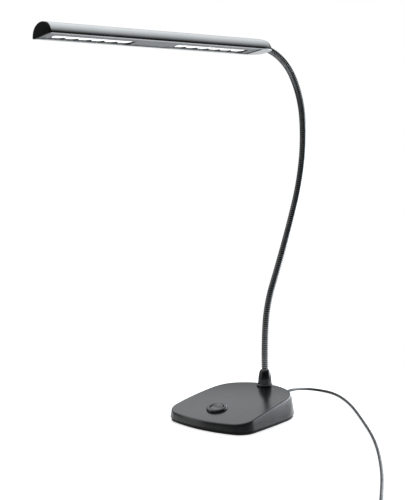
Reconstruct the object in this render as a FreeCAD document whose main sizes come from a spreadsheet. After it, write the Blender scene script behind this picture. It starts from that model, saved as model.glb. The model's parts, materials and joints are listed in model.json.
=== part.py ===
"""Piano lamp: a weighted base with a rocker switch, a gooseneck and a long D-shaped LED head.

Frame: millimetres, +Z up, origin on the table at the middle of the base, switch at the front (-Y),
gooseneck at the back (+Y). The head hangs from the end of the neck and points over the front.
"""
import FreeCAD, Part
import math
import os
import Sketcher
from FreeCAD import Placement, Rotation, Vector

SIZES = {
    # Base, seen from above. Its four sides are shallow arcs between four corners.
    "base_front_width": 125.0,
    "base_back_width": 114.5,
    "base_corner_depth": 124.0,
    "base_front_bow": 12.3,
    "base_back_bow": 14.3,
    "base_side_bow": 2.5,
    "front_corner_radius": 25.0,
    "back_corner_radius": 55.0,
    # Base housing
    "housing_bottom": 5.0,
    "housing_wall": 2.5,
    "wall_draft": 9.6,
    "roof_half_span": 80.0,
    "roof_front_height": 11.2,
    "roof_back_height": 31.6,
    "roof_rise": 4.3,
    "roof_cross_radius": 1500.0,
    "rim_radius": 1.6,
    # Underside
    "foot_thickness": 1.2,
    "foot_margin": 2.5,
    "plate_margin": 1.3,
    "plate_step": 2.0,
    "fit_gap": 0.1,
    "base_screw_x": 42.0,
    "base_screw_front": 44.0,
    "base_screw_back": 47.0,
    "base_screw_radius": 1.5,
    "base_screw_head_radius": 3.0,
    "base_screw_head_height": 1.6,
    "base_screw_length": 9.0,
    "boss_radius": 4.0,
    # Ballast
    "ballast_width": 76.0,
    "ballast_front": -12.0,
    "ballast_back": 40.0,
    "ballast_roof_gap": 2.0,
    "ballast_round": 3.0,
    # LED driver board
    "board_x": 30.0,
    "board_y": -25.5,
    "board_width": 28.0,
    "board_depth": 24.0,
    "board_thickness": 1.6,
    "standoff_height": 2.0,
    "standoff_radius": 2.2,
    "coil_part_radius": 4.0,
    "coil_part_height": 4.0,
    "capacitor_radius": 2.5,
    "capacitor_length": 11.0,
    # Rocker switch
    "switch_y": -39.0,
    "bezel_radius": 12.5,
    "bezel_height": 2.6,
    "bezel_edge": 0.8,
    "barrel_radius": 10.0,
    "barrel_depth": 9.0,
    "barrel_floor": 1.3,
    "rocker_opening_radius": 8.75,
    "rocker_radius": 8.5,
    "rocker_pivot_height": -0.2,
    "rocker_valley": 2.1,
    "rocker_depth": 4.0,
    "rocker_tilt": 9.0,
    "pivot_pin_radius": 1.2,
    "pivot_pin_reach": 9.7,
    "running_gap": 0.05,
    "terminal_width": 4.0,
    "terminal_thickness": 0.8,
    "terminal_spacing": 9.0,
    "terminal_length": 5.0,
    # Collar that carries the neck
    "collar_y": 59.3,
    "seat_radius": 10.2,
    "seat_rise": 0.5,
    "seat_thickness": 4.2,
    "flange_radius": 10.5,
    "flange_thickness": 2.0,
    "collar_foot_radius": 8.9,
    "collar_top_radius": 6.4,
    "collar_height": 20.9,
    "collar_shoulder": 2.6,
    "collar_side_radius": 60.0,
    "stub_radius": 5.0,
    "stub_length": 12.0,
    "nut_across_flats": 14.0,
    "nut_thickness": 4.0,
    # Gooseneck: links that follow a wound metal tube
    "neck_radius": 4.1,
    "neck_groove_radius": 3.45,
    "neck_bore_radius": 2.0,
    "wire_pitch": 2.75,
    "turns_per_link": 20,
    "ball_radius": 3.7,
    "ball_gap": 0.25,
    "spigot_radius": 3.3,
    "spigot_length": 9.0,
    "neck_heading": 14.3,
    "lean_0": -2.0,
    "lean_1": 3.0,
    "lean_2": 21.0,
    "lean_3": 19.5,
    "lean_4": 17.0,
    "lean_5": 6.5,
    "lean_6": -6.0,
    "lean_7": -30.5,
    "lean_8": -74.0,
    # Head
    "head_pitch": 1.0,
    "head_roll": 7.6,
    "head_drop": 4.6,
    "head_length": 297.0,
    "head_half_width": 19.1,
    "head_height": 15.4,
    "head_shoulder_radius": 14.5,
    "head_wall": 1.4,
    "lip_thickness": 0.8,
    "lip_width": 2.0,
    "nose_length": 19.0,
    "nose_tip_half_width": 5.6,
    "nose_tip_height": 9.6,
    "nose_flank": 1.3,
    "cap_thickness": 3.0,
    "cap_spigot": 4.0,
    "cap_spigot_wall": 1.6,
    # Underside of the head
    "under_plate_thickness": 1.2,
    "window_offset": -6.0,
    "window_length": 106.0,
    "window_width": 17.2,
    "window_round": 2.0,
    "window_near_neck": 64.0,
    "window_spacing": 164.0,
    "frame_thickness": 1.4,
    "frame_width": 18.8,
    "frame_lug": 9.0,
    "scallop_radius": 9.3,
    "lamps_per_window": 6,
    "lamp_pitch": 17.0,
    "reflector_height": 3.6,
    "cup_radius": 8.2,
    "cup_hole_radius": 3.2,
    "led_board_width": 12.0,
    "led_board_thickness": 1.2,
    "led_radius": 2.6,
    "led_height": 1.0,
    "head_screw_offset": 60.0,
    "head_screw_side": -10.0,
    "head_screw_radius": 1.2,
    "head_screw_head_radius": 2.4,
    # Cord and what is on it
    "cord_radius": 1.8,
    "cord_height": 14.0,
    "cord_seat_radius": 5.5,
    "cord_seat_rise": 1.0,
    "relief_flange_radius": 4.6,
    "relief_flange_thickness": 1.6,
    "relief_root_radius": 3.3,
    "relief_tip_radius": 2.5,
    "relief_length": 27.0,
    "coil_radius": 20.0,
    "coil_width": 14.6,
    "coil_height": 10.8,
    "tie_thickness": 0.5,
    "tie_width": 7.0,
    "tie_slack": 0.5,
    "adapter_length": 46.0,
    "adapter_width": 34.0,
    "adapter_height": 24.0,
    "adapter_round": 4.0,
    "adapter_cord_height": 6.5,
    "adapter_relief_radius": 3.6,
    "adapter_relief_length": 14.0,
    "prong_length": 17.0,
    "prong_width": 6.3,
    "prong_thickness": 1.5,
    "prong_spacing": 12.7,
}

doc = FreeCAD.newDocument("PianoLamp")
sheet = doc.addObject("Spreadsheet::Sheet", "Sizes")
for row, (alias, number) in enumerate(SIZES.items(), start=1):
    sheet.set(f"A{row}", alias)
    sheet.set(f"B{row}", str(number))
    sheet.setAlias(f"B{row}", alias)
doc.recompute()


class Size:
    """A length or angle: its value, and the words by which the spreadsheet works it out."""

    def __init__(self, text, value):
        self.text = text
        self.value = float(value)

    def __add__(self, other):
        other = as_size(other)
        return Size(f"({self.text} + {other.text})", self.value + other.value)

    def __sub__(self, other):
        other = as_size(other)
        return Size(f"({self.text} - {other.text})", self.value - other.value)

    def __mul__(self, other):
        other = as_size(other)
        return Size(f"({self.text} * {other.text})", self.value * other.value)

    def __truediv__(self, other):
        other = as_size(other)
        return Size(f"({self.text} / {other.text})", self.value / other.value)

    def __neg__(self):
        return Size(f"(0 - {self.text})", -self.value)

    def __radd__(self, other):
        return as_size(other) + self

    def __rmul__(self, other):
        return as_size(other) * self

    def __rsub__(self, other):
        return as_size(other) - self


def as_size(number):
    """A plain number as a Size."""
    return number if isinstance(number, Size) else Size(f"{number}", number)


def root(size):
    """Square root."""
    return Size(f"sqrt({size.text})", math.sqrt(size.value))


def tangent(size):
    """Tangent of an angle in degrees."""
    return Size(f"tan({size.text})", math.tan(math.radians(size.value)))


def get(alias):
    """The spreadsheet's cell of that name."""
    return Size(f"Sizes.{alias}", getattr(sheet, alias))


def bind(thing, prop, size):
    """Ties a property of a document object to the spreadsheet."""
    thing.setExpression(prop, as_size(size).text)


# ---------------------------------------------------------------- sketches and features

def new_body(name):
    return doc.addObject("PartDesign::Body", name)


def new_sketch(body, name, role, offset=None):
    """A sketch on one of the body's origin planes, moved by the three sizes in offset."""
    plane = [item for item in body.Origin.OriginFeatures if item.Role == role][0]
    sketch = body.newObject("Sketcher::SketchObject", name)
    sketch.AttachmentSupport = [(plane, "")]
    sketch.MapMode = "FlatFace"
    for letter, size in zip("xyz", offset or ()):
        bind(sketch, f"AttachmentOffset.Base.{letter}", size)
    return sketch


def draw(sketch, corners, arcs=None):
    """A closed outline through the corners. arcs gives, for the edge that starts at a corner,
    its radius, and is negative where the edge bulges to the left of the way it runs."""
    arcs = arcs or {}
    count = len(corners)
    first = sketch.GeometryCount
    ends = []
    for i in range(count):
        start = Vector(corners[i][0].value, corners[i][1].value, 0)
        end = Vector(corners[(i + 1) % count][0].value, corners[(i + 1) % count][1].value, 0)
        if i not in arcs:
            sketch.addGeometry(Part.LineSegment(start, end), False)
            ends.append((1, 2))
            continue
        radius = abs(arcs[i].value)
        chord = end - start
        rise = math.sqrt(max(radius ** 2 - (chord.Length / 2) ** 2, 0.0))
        left = Vector(-chord.y, chord.x, 0).normalize()
        counter_clockwise = arcs[i].value > 0
        centre = (start + end) * 0.5 + left * (rise if counter_clockwise else -rise)
        begin, finish = (start, end) if counter_clockwise else (end, start)
        angle_1 = math.atan2(begin.y - centre.y, begin.x - centre.x)
        angle_2 = math.atan2(finish.y - centre.y, finish.x - centre.x)
        circle = Part.Circle(centre, Vector(0, 0, 1), radius)
        sketch.addGeometry(Part.ArcOfCircle(circle, angle_1, angle_2), False)
        ends.append((1, 2) if counter_clockwise else (2, 1))
    for i in range(count):
        following = (i + 1) % count
        sketch.addConstraint(Sketcher.Constraint(
            "Coincident", first + i, ends[i][1], first + following, ends[following][0]))
    for i, corner in enumerate(corners):
        for kind, size in zip(("DistanceX", "DistanceY"), corner):
            index = sketch.addConstraint(Sketcher.Constraint(kind, first + i, ends[i][0], size.value))
            bind(sketch, f"Constraints[{index}]", size)
    for i, size in arcs.items():
        index = sketch.addConstraint(Sketcher.Constraint("Radius", first + i, abs(size.value)))
        bind(sketch, f"Constraints[{index}]", size if size.value > 0 else -size)


def feature(body, kind, name, sketch, **sizes):
    """A Pad, Pocket, Revolution or Groove of a sketch."""
    item = body.newObject(f"PartDesign::{kind}", name)
    item.Profile = sketch
    for prop, value in sizes.items():
        if isinstance(value, Size):
            bind(item, prop, value)
        else:
            setattr(item, prop, value)
    doc.recompute()
    return item


def round_edges(body, name, base, edges, radius):
    """A fillet on the edges of base with those numbers."""
    item = body.newObject("PartDesign::Fillet", name)
    item.Base = (base, [f"Edge{number}" for number in edges])
    bind(item, "Radius", radius)
    doc.recompute()
    return item


def edges_where(shape, test):
    """Numbers of the edges whose two ends pass the test."""
    found = []
    for number, edge in enumerate(shape.Edges, start=1):
        ends = [vertex.Point for vertex in edge.Vertexes]
        if len(ends) == 2 and test(ends[0], ends[1]):
            found.append(number)
    return found


def primitive(kind, name, place=(), turn=None, **sizes):
    """A Part primitive with its sizes and its place tied to the spreadsheet."""
    item = doc.addObject(f"Part::{kind}", name)
    for prop, size in sizes.items():
        bind(item, prop, size)
    if turn:
        item.Placement = Placement(Vector(), Rotation(*turn))
    for letter, size in zip("xyz", place):
        bind(item, f"Placement.Base.{letter}", size)
    return item


def cut(name, base, tool):
    item = doc.addObject("Part::Cut", name)
    item.Base, item.Tool = base, tool
    return item


def fuse(name, items):
    item = doc.addObject("Part::MultiFuse", name)
    item.Shapes = items
    return item


def common(name, items):
    item = doc.addObject("Part::MultiCommon", name)
    item.Shapes = items
    return item


def group(name, items):
    item = doc.addObject("Part::Compound", name)
    item.Links = items
    return item


def shaped(name, shape):
    """A piece whose form only Part's own functions can make."""
    item = doc.addObject("Part::Feature", name)
    item.Shape = shape
    return item


NODES = {}


def node(name, item):
    """Names a finished sub-part."""
    item.Label = name
    NODES[name] = item
    return item


# ---------------------------------------------------------------- base

def arc_radius(chord, rise):
    """Radius of the arc that rises by that much over its chord."""
    return (chord * chord / 4 + rise * rise) / (2 * rise)


def draw_base_outline(sketch, inset):
    """The base's outline from above, drawn in by inset on every side."""
    front = get("base_front_width") / 2 - inset
    back = get("base_back_width") / 2 - inset
    depth = get("base_corner_depth") / 2 - inset
    side_chord = root((front - back) * (front - back) + depth * depth * 4)
    draw(sketch,
         [(-front, -depth), (front, -depth), (back, depth), (-back, depth)],
         {0: arc_radius(front * 2, get("base_front_bow")),
          1: arc_radius(side_chord, get("base_side_bow")),
          2: arc_radius(back * 2, get("base_back_bow")),
          3: arc_radius(side_chord, get("base_side_bow"))})


def base_slab(body, name, inset, bottom, height, draft=None):
    """A pad of the base's outline with its four upright edges rounded."""
    sketch = new_sketch(body, f"{name}_outline", "XY_Plane", (0, 0, bottom))
    draw_base_outline(sketch, inset)
    sizes = {"Length": height}
    if draft is not None:
        sizes["TaperAngle"] = -draft
    pad = feature(body, "Pad", f"{name}_pad", sketch, **sizes)

    def upright(front):
        return lambda a, b: abs(a.z - b.z) > 0.8 * height.value and (a.y < 0) == front

    fillet = round_edges(body, f"{name}_front_corners", pad, edges_where(pad.Shape, upright(True)),
                         get("front_corner_radius") - inset)
    return round_edges(body, f"{name}_back_corners", fillet,
                       edges_where(fillet.Shape, lambda a, b: upright(False)(a, b) and a.y > 30),
                       get("back_corner_radius") - inset)


def roof_radius():
    """Radius of the roof's side profile, an arc over the span of the base."""
    span = get("roof_half_span") * 2
    fall = get("roof_back_height") - get("roof_front_height")
    return arc_radius(root(span * span + fall * fall), get("roof_rise"))


def roof_at(y):
    """Height of the roof over the middle line at y, and its slope there in degrees."""
    span = sheet.roof_half_span
    front = Vector(-span, sheet.roof_front_height, 0)
    back = Vector(span, sheet.roof_back_height, 0)
    chord = back - front
    radius = roof_radius().value
    down = Vector(chord.y, -chord.x, 0).normalize()
    centre = (front + back) * 0.5 + down * (radius - sheet.roof_rise)
    height = centre.y + math.sqrt(radius ** 2 - (y - centre.x) ** 2)
    return height, math.degrees(math.asin((centre.x - y) / radius))


def roof_cut(body, name, drop):
    """Cuts a drafted slab to the crowned roof: the side profile turned about a far axis below."""
    axis_height = get("roof_back_height") - get("roof_cross_radius")
    span = get("roof_half_span")
    sketch = new_sketch(body, f"{name}_roof_profile", "YZ_Plane", (0, axis_height, 0))
    front = get("roof_front_height") - drop - axis_height
    back = get("roof_back_height") - drop - axis_height
    above = get("roof_back_height") * 2 - axis_height
    draw(sketch, [(-span, front), (span, back), (span, above), (-span, above)],
         {0: -roof_radius()})
    before = body.Shape.Volume
    groove = feature(body, "Groove", f"{name}_roof", sketch, ReferenceAxis=(sketch, ["H_Axis"]),
                     Angle=8.0, Midplane=True)
    if not groove.Shape.Volume < 0.95 * before:
        raise RuntimeError(f"{name}: the roof cut removed nothing")
    return groove


def screw_places():
    """The four base screws: left and right, front and back."""
    x = get("base_screw_x")
    return [(side * x, y) for side in (-1, 1)
            for y in (-get("base_screw_front"), get("base_screw_back"))]


def make_base():
    wall = get("housing_wall")
    bottom = get("housing_bottom")
    tall = get("roof_back_height") + wall - bottom
    outer = new_body("housing_outer")
    base_slab(outer, "outer", as_size(0), bottom, tall, get("wall_draft"))
    roof = roof_cut(outer, "outer", as_size(0))
    top = max(roof.Shape.Faces, key=lambda face: face.CenterOfMass.z * (face.Area > 5000))
    rim = [number for number, edge in enumerate(roof.Shape.Edges, start=1)
           if any(edge.isSame(other) for other in top.Edges)]
    round_edges(outer, "outer_rim", roof, rim, get("rim_radius"))
    inner = new_body("housing_cavity")
    base_slab(inner, "inner", wall, bottom, tall, get("wall_draft"))
    roof_cut(inner, "inner", wall)
    shell = cut("housing_shell", outer, inner)

    seat_top, _ = roof_at(sheet.collar_y)
    seat_top = as_size(round(seat_top, 3)) + get("seat_rise")
    collar_y = get("collar_y")
    boss_bars = [primitive("Cylinder", f"boss_bar_{i}", (x, y, bottom), Radius=get("boss_radius"),
                           Height=tall) for i, (x, y) in enumerate(screw_places())]
    bosses = common("screw_bosses", [inner, fuse("boss_bars", boss_bars)])
    seat = primitive("Cylinder", "collar_seat", (0, collar_y, seat_top - get("seat_thickness")),
                     Radius=get("seat_radius"), Height=get("seat_thickness"))
    cord_face = back_wall_y() + get("cord_seat_rise")
    cord_seat = primitive("Cylinder", "cord_seat", (0, cord_face, get("cord_height")),
                          (Vector(1, 0, 0), 90), Radius=get("cord_seat_radius"),
                          Height=wall + get("cord_seat_rise") * 2)
    solid = fuse("housing_solid", [shell, bosses, seat, cord_seat])

    height, slope = roof_at(sheet.switch_y)
    switch_hole = primitive("Cylinder", "switch_hole", Radius=get("barrel_radius") + get("fit_gap"),
                            Height=wall * 6)
    switch_hole.Placement = Placement(Vector(0, sheet.switch_y, height),
                                      Rotation(Vector(1, 0, 0), slope)).multiply(
        Placement(Vector(0, 0, -3 * sheet.housing_wall), Rotation()))
    collar_hole = primitive("Cylinder", "collar_hole", (0, collar_y, seat_top - wall * 4),
                            Radius=get("stub_radius") + get("fit_gap"), Height=wall * 6)
    cord_hole = primitive("Cylinder", "cord_hole", (0, cord_face + wall, get("cord_height")),
                          (Vector(1, 0, 0), 90), Height=wall * 5,
                          Radius=get("relief_root_radius") + get("fit_gap"))
    pilots = [primitive("Cylinder", f"pilot_{i}", (x, y, bottom), Height=get("base_screw_length"),
                        Radius=get("base_screw_radius") + get("running_gap"))
              for i, (x, y) in enumerate(screw_places())]
    holes = fuse("housing_holes", [switch_hole, collar_hole, cord_hole] + pilots)
    node("base_housing", cut("base_housing", solid, holes))
    return seat_top, cord_face


def back_wall_y():
    """Where the back wall stands on the middle line, at the height of the cord."""
    return (get("base_corner_depth") / 2 + get("base_back_bow")
            - (get("cord_height") - get("housing_bottom")) * tangent(get("wall_draft")))


def make_underside():
    foot = get("foot_thickness")
    margin = get("plate_margin")
    bottom = get("housing_bottom")
    plate = new_body("plate_blank")
    base_slab(plate, "plate", margin, foot, bottom - foot)
    step = new_body("plate_step_blank")
    base_slab(step, "step", get("housing_wall") + get("fit_gap") * 4, bottom, get("plate_step"))
    standoffs = [primitive("Cylinder", f"standoff_{i}", (x, y, bottom), Radius=get("standoff_radius"),
                           Height=get("plate_step") + get("standoff_height"))
                 for i, (x, y) in enumerate(standoff_places())]
    boss_room = [primitive("Cylinder", f"boss_room_{i}", (x, y, bottom),
                           Radius=get("boss_radius") + get("fit_gap") * 2, Height=get("plate_step"))
                 for i, (x, y) in enumerate(screw_places())]
    stepped = cut("plate_stepped", fuse("plate_solid", [plate, step] + standoffs),
                  fuse("boss_rooms", boss_room))
    holes = []
    for i, (x, y) in enumerate(screw_places()):
        holes.append(primitive("Cylinder", f"plate_hole_{i}", (x, y, foot), Height=bottom,
                               Radius=get("base_screw_radius") + get("running_gap")))
        holes.append(primitive("Cone", f"plate_sink_{i}", (x, y, foot),
                               Radius1=get("base_screw_head_radius") + get("running_gap"),
                               Radius2=get("base_screw_radius") + get("running_gap"),
                               Height=get("base_screw_head_height")))
    node("base_plate", cut("base_plate", stepped, fuse("plate_holes", holes)))

    pad = new_body("foot_pad")
    base_slab(pad, "foot", margin + get("foot_margin"), as_size(0), foot)
    node("foot_pad", pad)

    screws = []
    for i, (x, y) in enumerate(screw_places()):
        head = primitive("Cone", f"screw_head_{i}", (x, y, foot),
                         Radius1=get("base_screw_head_radius"), Radius2=get("base_screw_radius"),
                         Height=get("base_screw_head_height"))
        shank = primitive("Cylinder", f"screw_shank_{i}", (x, y, foot),
                          Radius=get("base_screw_radius"),
                          Height=bottom + get("base_screw_length") - foot - get("fit_gap") * 5)
        screws.append(fuse(f"base_screw_{i}", [head, shank]))
    node("base_screws", group("base_screws", screws))


def standoff_places():
    """The driver board's four supports, near its corners."""
    reach_x = get("board_width") / 2 - get("standoff_radius")
    reach_y = get("board_depth") / 2 - get("standoff_radius")
    return [(get("board_x") + side * reach_x, get("board_y") + end * reach_y)
            for side in (-1, 1) for end in (-1, 1)]


def make_ballast():
    floor = get("housing_bottom") + get("plate_step")
    under = get("housing_wall") + get("ballast_roof_gap")
    front_top = as_size(round(roof_at(sheet.ballast_front)[0], 3)) - under
    back_top = as_size(round(roof_at(sheet.ballast_back)[0], 3)) - under
    body = new_body("base_weight")
    sketch = new_sketch(body, "weight_profile", "YZ_Plane")
    front, back = get("ballast_front"), get("ballast_back")
    draw(sketch, [(front, floor), (back, floor), (back, back_top), (front, front_top)])
    pad = feature(body, "Pad", "weight_pad", sketch, Length=get("ballast_width"), Midplane=True)
    top = edges_where(pad.Shape, lambda a, b: min(a.z, b.z) > floor.value + 1)
    round_edges(body, "weight_rounds", pad, top, get("ballast_round"))
    node("base_weight", body)


def make_driver():
    board_bottom = get("housing_bottom") + get("plate_step") + get("standoff_height")
    board_top = board_bottom + get("board_thickness")
    x, y = get("board_x"), get("board_y")
    node("driver_board", primitive("Box", "driver_board",
                                   (x - get("board_width") / 2, y - get("board_depth") / 2, board_bottom),
                                   Length=get("board_width"), Width=get("board_depth"),
                                   Height=get("board_thickness")))
    choke = primitive("Cylinder", "driver_choke", (x - get("coil_part_radius") * 1.5, y, board_top),
                      Radius=get("coil_part_radius"), Height=get("coil_part_height"))
    capacitor = primitive("Cylinder", "driver_capacitor",
                          (x + get("capacitor_radius") * 2, y + get("capacitor_length") / 2,
                           board_top + get("capacitor_radius")),
                          (Vector(1, 0, 0), 90), Radius=get("capacitor_radius"),
                          Height=get("capacitor_length"))
    node("driver_parts", group("driver_parts", [choke, capacitor]))


# ---------------------------------------------------------------- rocker switch

def make_switch():
    """The switch stands square to the sloping roof."""
    height, slope = roof_at(sheet.switch_y)
    frame = Placement(Vector(0, sheet.switch_y, height), Rotation(Vector(1, 0, 0), slope))
    opening = get("rocker_opening_radius")
    body = new_body("switch_shell")
    sketch = new_sketch(body, "switch_profile", "XZ_Plane")
    rim = get("bezel_radius")
    tall = get("bezel_height")
    edge = get("bezel_edge")
    depth = get("barrel_depth")
    barrel = get("barrel_radius")
    floor = get("barrel_floor")
    lip = opening + (rim - opening) * 0.35
    draw(sketch,
         [(as_size(0), -depth), (barrel, -depth), (barrel, as_size(0)), (rim, as_size(0)),
          (rim, edge), (lip, tall), (opening, tall - edge / 2), (opening, floor - depth),
          (as_size(0), floor - depth)],
         {4: (rim - opening) * 1.1})
    feature(body, "Revolution", "switch_turned", sketch, ReferenceAxis=(sketch, ["V_Axis"]),
            Angle=360.0)
    pivot_z = get("rocker_pivot_height")
    pin_room = primitive("Cylinder", "pin_room", (-barrel, 0, pivot_z), (Vector(0, 1, 0), 90),
                         Radius=get("pivot_pin_radius") + get("running_gap"), Height=barrel * 2)
    slots = []
    for i, side in enumerate((-1, 1)):
        slots.append(primitive("Box", f"terminal_slot_{i}",
                               (-get("terminal_width") / 2, side * get("terminal_spacing") / 2
                                - get("terminal_thickness") / 2, -depth),
                               Length=get("terminal_width"), Width=get("terminal_thickness"),
                               Height=floor))
    shell = cut("switch_body", body, fuse("switch_rooms", [pin_room] + slots))
    shell.Placement = frame
    node("switch_body", shell)

    blades = []
    for i, side in enumerate((-1, 1)):
        blades.append(primitive("Box", f"terminal_{i}",
                                (-get("terminal_width") / 2, side * get("terminal_spacing") / 2
                                 - get("terminal_thickness") / 2,
                                 floor + get("terminal_thickness") - depth - get("terminal_length")),
                                Length=get("terminal_width"), Width=get("terminal_thickness"),
                                Height=get("terminal_length")))
    terminals = group("switch_terminals", blades)
    terminals.Placement = frame
    node("switch_terminals", terminals)

    key = new_body("rocker_key")
    sketch = new_sketch(key, "rocker_profile", "YZ_Plane")
    reach = get("rocker_radius") + 1
    valley = get("rocker_valley")
    crest = valley + reach * tangent(get("rocker_tilt"))
    draw(sketch, [(-reach, -get("rocker_depth")), (reach, -get("rocker_depth")), (reach, crest),
                  (as_size(0), valley), (-reach, crest)])
    feature(key, "Pad", "rocker_pad", sketch, Length=reach * 2, Midplane=True)
    ball = primitive("Sphere", "rocker_ball", Radius=get("rocker_radius"))
    pin = primitive("Cylinder", "rocker_pin", (-get("pivot_pin_reach"), 0, 0), (Vector(0, 1, 0), 90),
                    Radius=get("pivot_pin_radius"), Height=get("pivot_pin_reach") * 2)
    rocker = fuse("switch_rocker", [common("rocker_cut", [key, ball]), pin])
    rocker.Placement = frame.multiply(Placement(Vector(0, 0, sheet.rocker_pivot_height),
                                                Rotation(Vector(1, 0, 0), sheet.rocker_tilt)))
    node("switch_rocker", rocker)
    pivot = frame.multVec(Vector(0, 0, sheet.rocker_pivot_height))
    print("rocker pivot", [round(c, 4) for c in pivot], "travel", 2 * sheet.rocker_tilt)


# ---------------------------------------------------------------- collar

def make_collar(seat_top):
    body = new_body("neck_collar")
    sketch = new_sketch(body, "collar_profile", "XZ_Plane")
    tall = get("collar_height")
    flange = get("flange_thickness")
    shoulder = get("collar_shoulder")
    socket = get("spigot_radius") + get("running_gap")
    socket_floor = tall - get("spigot_length") - get("running_gap")
    bore = get("neck_bore_radius") + get("fit_gap")
    stub = get("stub_radius")
    draw(sketch,
         [(bore, -get("stub_length")), (stub, -get("stub_length")), (stub, as_size(0)),
          (get("flange_radius"), as_size(0)), (get("flange_radius"), flange * 0.6),
          (get("flange_radius") - flange * 0.4, flange), (get("collar_foot_radius"), flange),
          (get("collar_top_radius"), tall - shoulder),
          (get("collar_top_radius") - shoulder * 0.5, tall),
          (socket, tall), (socket, socket_floor), (bore, socket_floor)],
         {4: flange * 0.4, 6: get("collar_side_radius"), 7: shoulder * 1.2})
    feature(body, "Revolution", "collar_turned", sketch, ReferenceAxis=(sketch, ["V_Axis"]),
            Angle=360.0)
    bind(body, "Placement.Base.y", get("collar_y"))
    bind(body, "Placement.Base.z", seat_top)
    node("neck_collar", body)

    nut_hole = primitive("Cylinder", "nut_hole", Radius=stub + get("running_gap"),
                         Height=get("nut_thickness"))
    hexagon = doc.addObject("Part::Prism", "nut_hexagon")
    hexagon.Polygon = 6
    bind(hexagon, "Circumradius", get("nut_across_flats") / root(as_size(3)))
    bind(hexagon, "Height", get("nut_thickness"))
    nut = cut("collar_nut", hexagon, nut_hole)
    bind(nut, "Placement.Base.y", get("collar_y"))
    bind(nut, "Placement.Base.z", seat_top - get("seat_thickness") - get("nut_thickness"))
    node("collar_nut", nut)


# ---------------------------------------------------------------- gooseneck

def link_leans():
    """Lean of the neck from upright at the ends of its links, backwards positive, in degrees."""
    return [getattr(sheet, f"lean_{i}") for i in range(9)]


def link_length():
    return sheet.turns_per_link * sheet.wire_pitch


def along_arc(lean, turn, length, distance):
    """Place after a distance along an arc that starts with that lean and turns evenly.

    Gives how far back, how far up, and the lean there, in degrees."""
    here = lean + turn * distance / length
    if abs(turn) < 1e-6:
        return (distance * math.sin(math.radians(lean)), distance * math.cos(math.radians(lean)), here)
    radius = length / math.radians(turn)
    back = radius * (math.cos(math.radians(lean)) - math.cos(math.radians(here)))
    up = radius * (math.sin(math.radians(here)) - math.sin(math.radians(lean)))
    return back, up, here


def leaning(lean):
    """Unit vector along the neck where it leans that much."""
    return Vector(math.sin(math.radians(lean)), 0, math.cos(math.radians(lean)))


def ring(place, axis, radius):
    """A circle across the neck."""
    return Part.Wire([Part.Edge(Part.Circle(place, axis, radius))])


def neck_rings(lean, turn, distances, radii):
    """Circles across the link at distances along its arc, their radii taken in turn."""
    rings = []
    for i, distance in enumerate(distances):
        back, up, here = along_arc(lean, turn, link_length(), distance)
        rings.append(ring(Vector(back, 0, up), leaning(here), radii[i % len(radii)]))
    return rings


def rod(foot, axis):
    """The plain end of the neck that is pressed into its collar or nose."""
    root_length = sheet.wire_pitch / 2
    return Part.makeCylinder(sheet.spigot_radius, sheet.spigot_length + root_length,
                             foot - axis * root_length, axis)


def make_link(number):
    """One link in its own frame: it starts at the origin and bends in the plane of X and Z.

    Its surface is a row of wire turns: groove, crest, groove. Its lower end is a ball and its upper
    end a socket, both centred on the bending points. The first link's lower end and the last
    link's upper end are plain rods. A bore for the leads runs through."""
    leans = link_leans()
    lean, turn = leans[number], leans[number + 1] - leans[number]
    length = link_length()
    half = sheet.wire_pitch / 2
    first_link, last_link = number == 0, number == 7
    count = round(length / half) - (0 if last_link else 1)
    radii = (sheet.neck_groove_radius, sheet.neck_radius)
    turns = neck_rings(lean, turn, [half * i for i in range(count + 1)], radii)
    foot, below = Vector(0, 0, 0), -leaning(0 if first_link else lean)
    if first_link:
        turns[0] = ring(foot, -below, radii[0])
    solid = Part.makeLoft(turns, True, True)
    back, up, there = along_arc(lean, turn, length, length)
    top, above = Vector(back, 0, up), leaning(there)
    if first_link:
        solid = solid.fuse(rod(foot, below))
    else:
        keep = Part.makeCylinder(sheet.neck_radius, 2 * sheet.ball_radius, foot - below * half / 2, below)
        solid = solid.fuse(Part.makeSphere(sheet.ball_radius, foot).common(keep))
    if last_link:
        solid = solid.fuse(rod(top, above))

    reach = sheet.spigot_length + half
    bore_radius = sheet.neck_bore_radius
    middles = neck_rings(lean, turn, [half * i for i in range(2, count - 1, 4)], (bore_radius,))
    bore = ([ring(foot + below * reach, -below, bore_radius), ring(foot, -below, bore_radius)] + middles
            + [ring(top, above, bore_radius), ring(top + above * reach, above, bore_radius)])
    solid = solid.cut(Part.makeLoft(bore, True, True))
    if not last_link:
        solid = solid.cut(Part.makeSphere(sheet.ball_radius + sheet.ball_gap, top))
    return solid


def neck_frame(seat_top):
    """Placement that turns the neck's plane (X back, Z up) to its heading over the collar."""
    start = Vector(0, sheet.collar_y, seat_top.value + sheet.collar_height)
    return Placement(start, Rotation(Vector(0, 0, 1), 90 - sheet.neck_heading))


def make_neck(seat_top):
    """Eight links in a row. Prints each bending point with its two axes."""
    leans = link_leans()
    frame = neck_frame(seat_top)
    back, up = 0.0, 0.0
    for number in range(8):
        link = shaped(f"neck_link_{number + 1}", make_link(number))
        link.Placement = frame.multiply(Placement(Vector(back, 0, up), Rotation()))
        node(f"neck_link_{number + 1}", link)
        step_back, step_up, _ = along_arc(leans[number], leans[number + 1] - leans[number],
                                          link_length(), link_length())
        back, up = back + step_back, up + step_up
        lean = math.radians(leans[number + 1])
        pivot = frame.multVec(Vector(back, 0, up))
        across = frame.Rotation.multVec(Vector(0, 1, 0))
        along = frame.Rotation.multVec(Vector(math.sin(lean), 0, math.cos(lean)))
        bend, swing = -across, across.cross(along)
        print("neck point", number + 1, [round(c, 4) for c in pivot],
              "bend", [round(c, 6) for c in bend], "swing", [round(c, 6) for c in swing])
    return frame, Vector(back, 0, up), leans[8]


# ---------------------------------------------------------------- head

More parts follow.
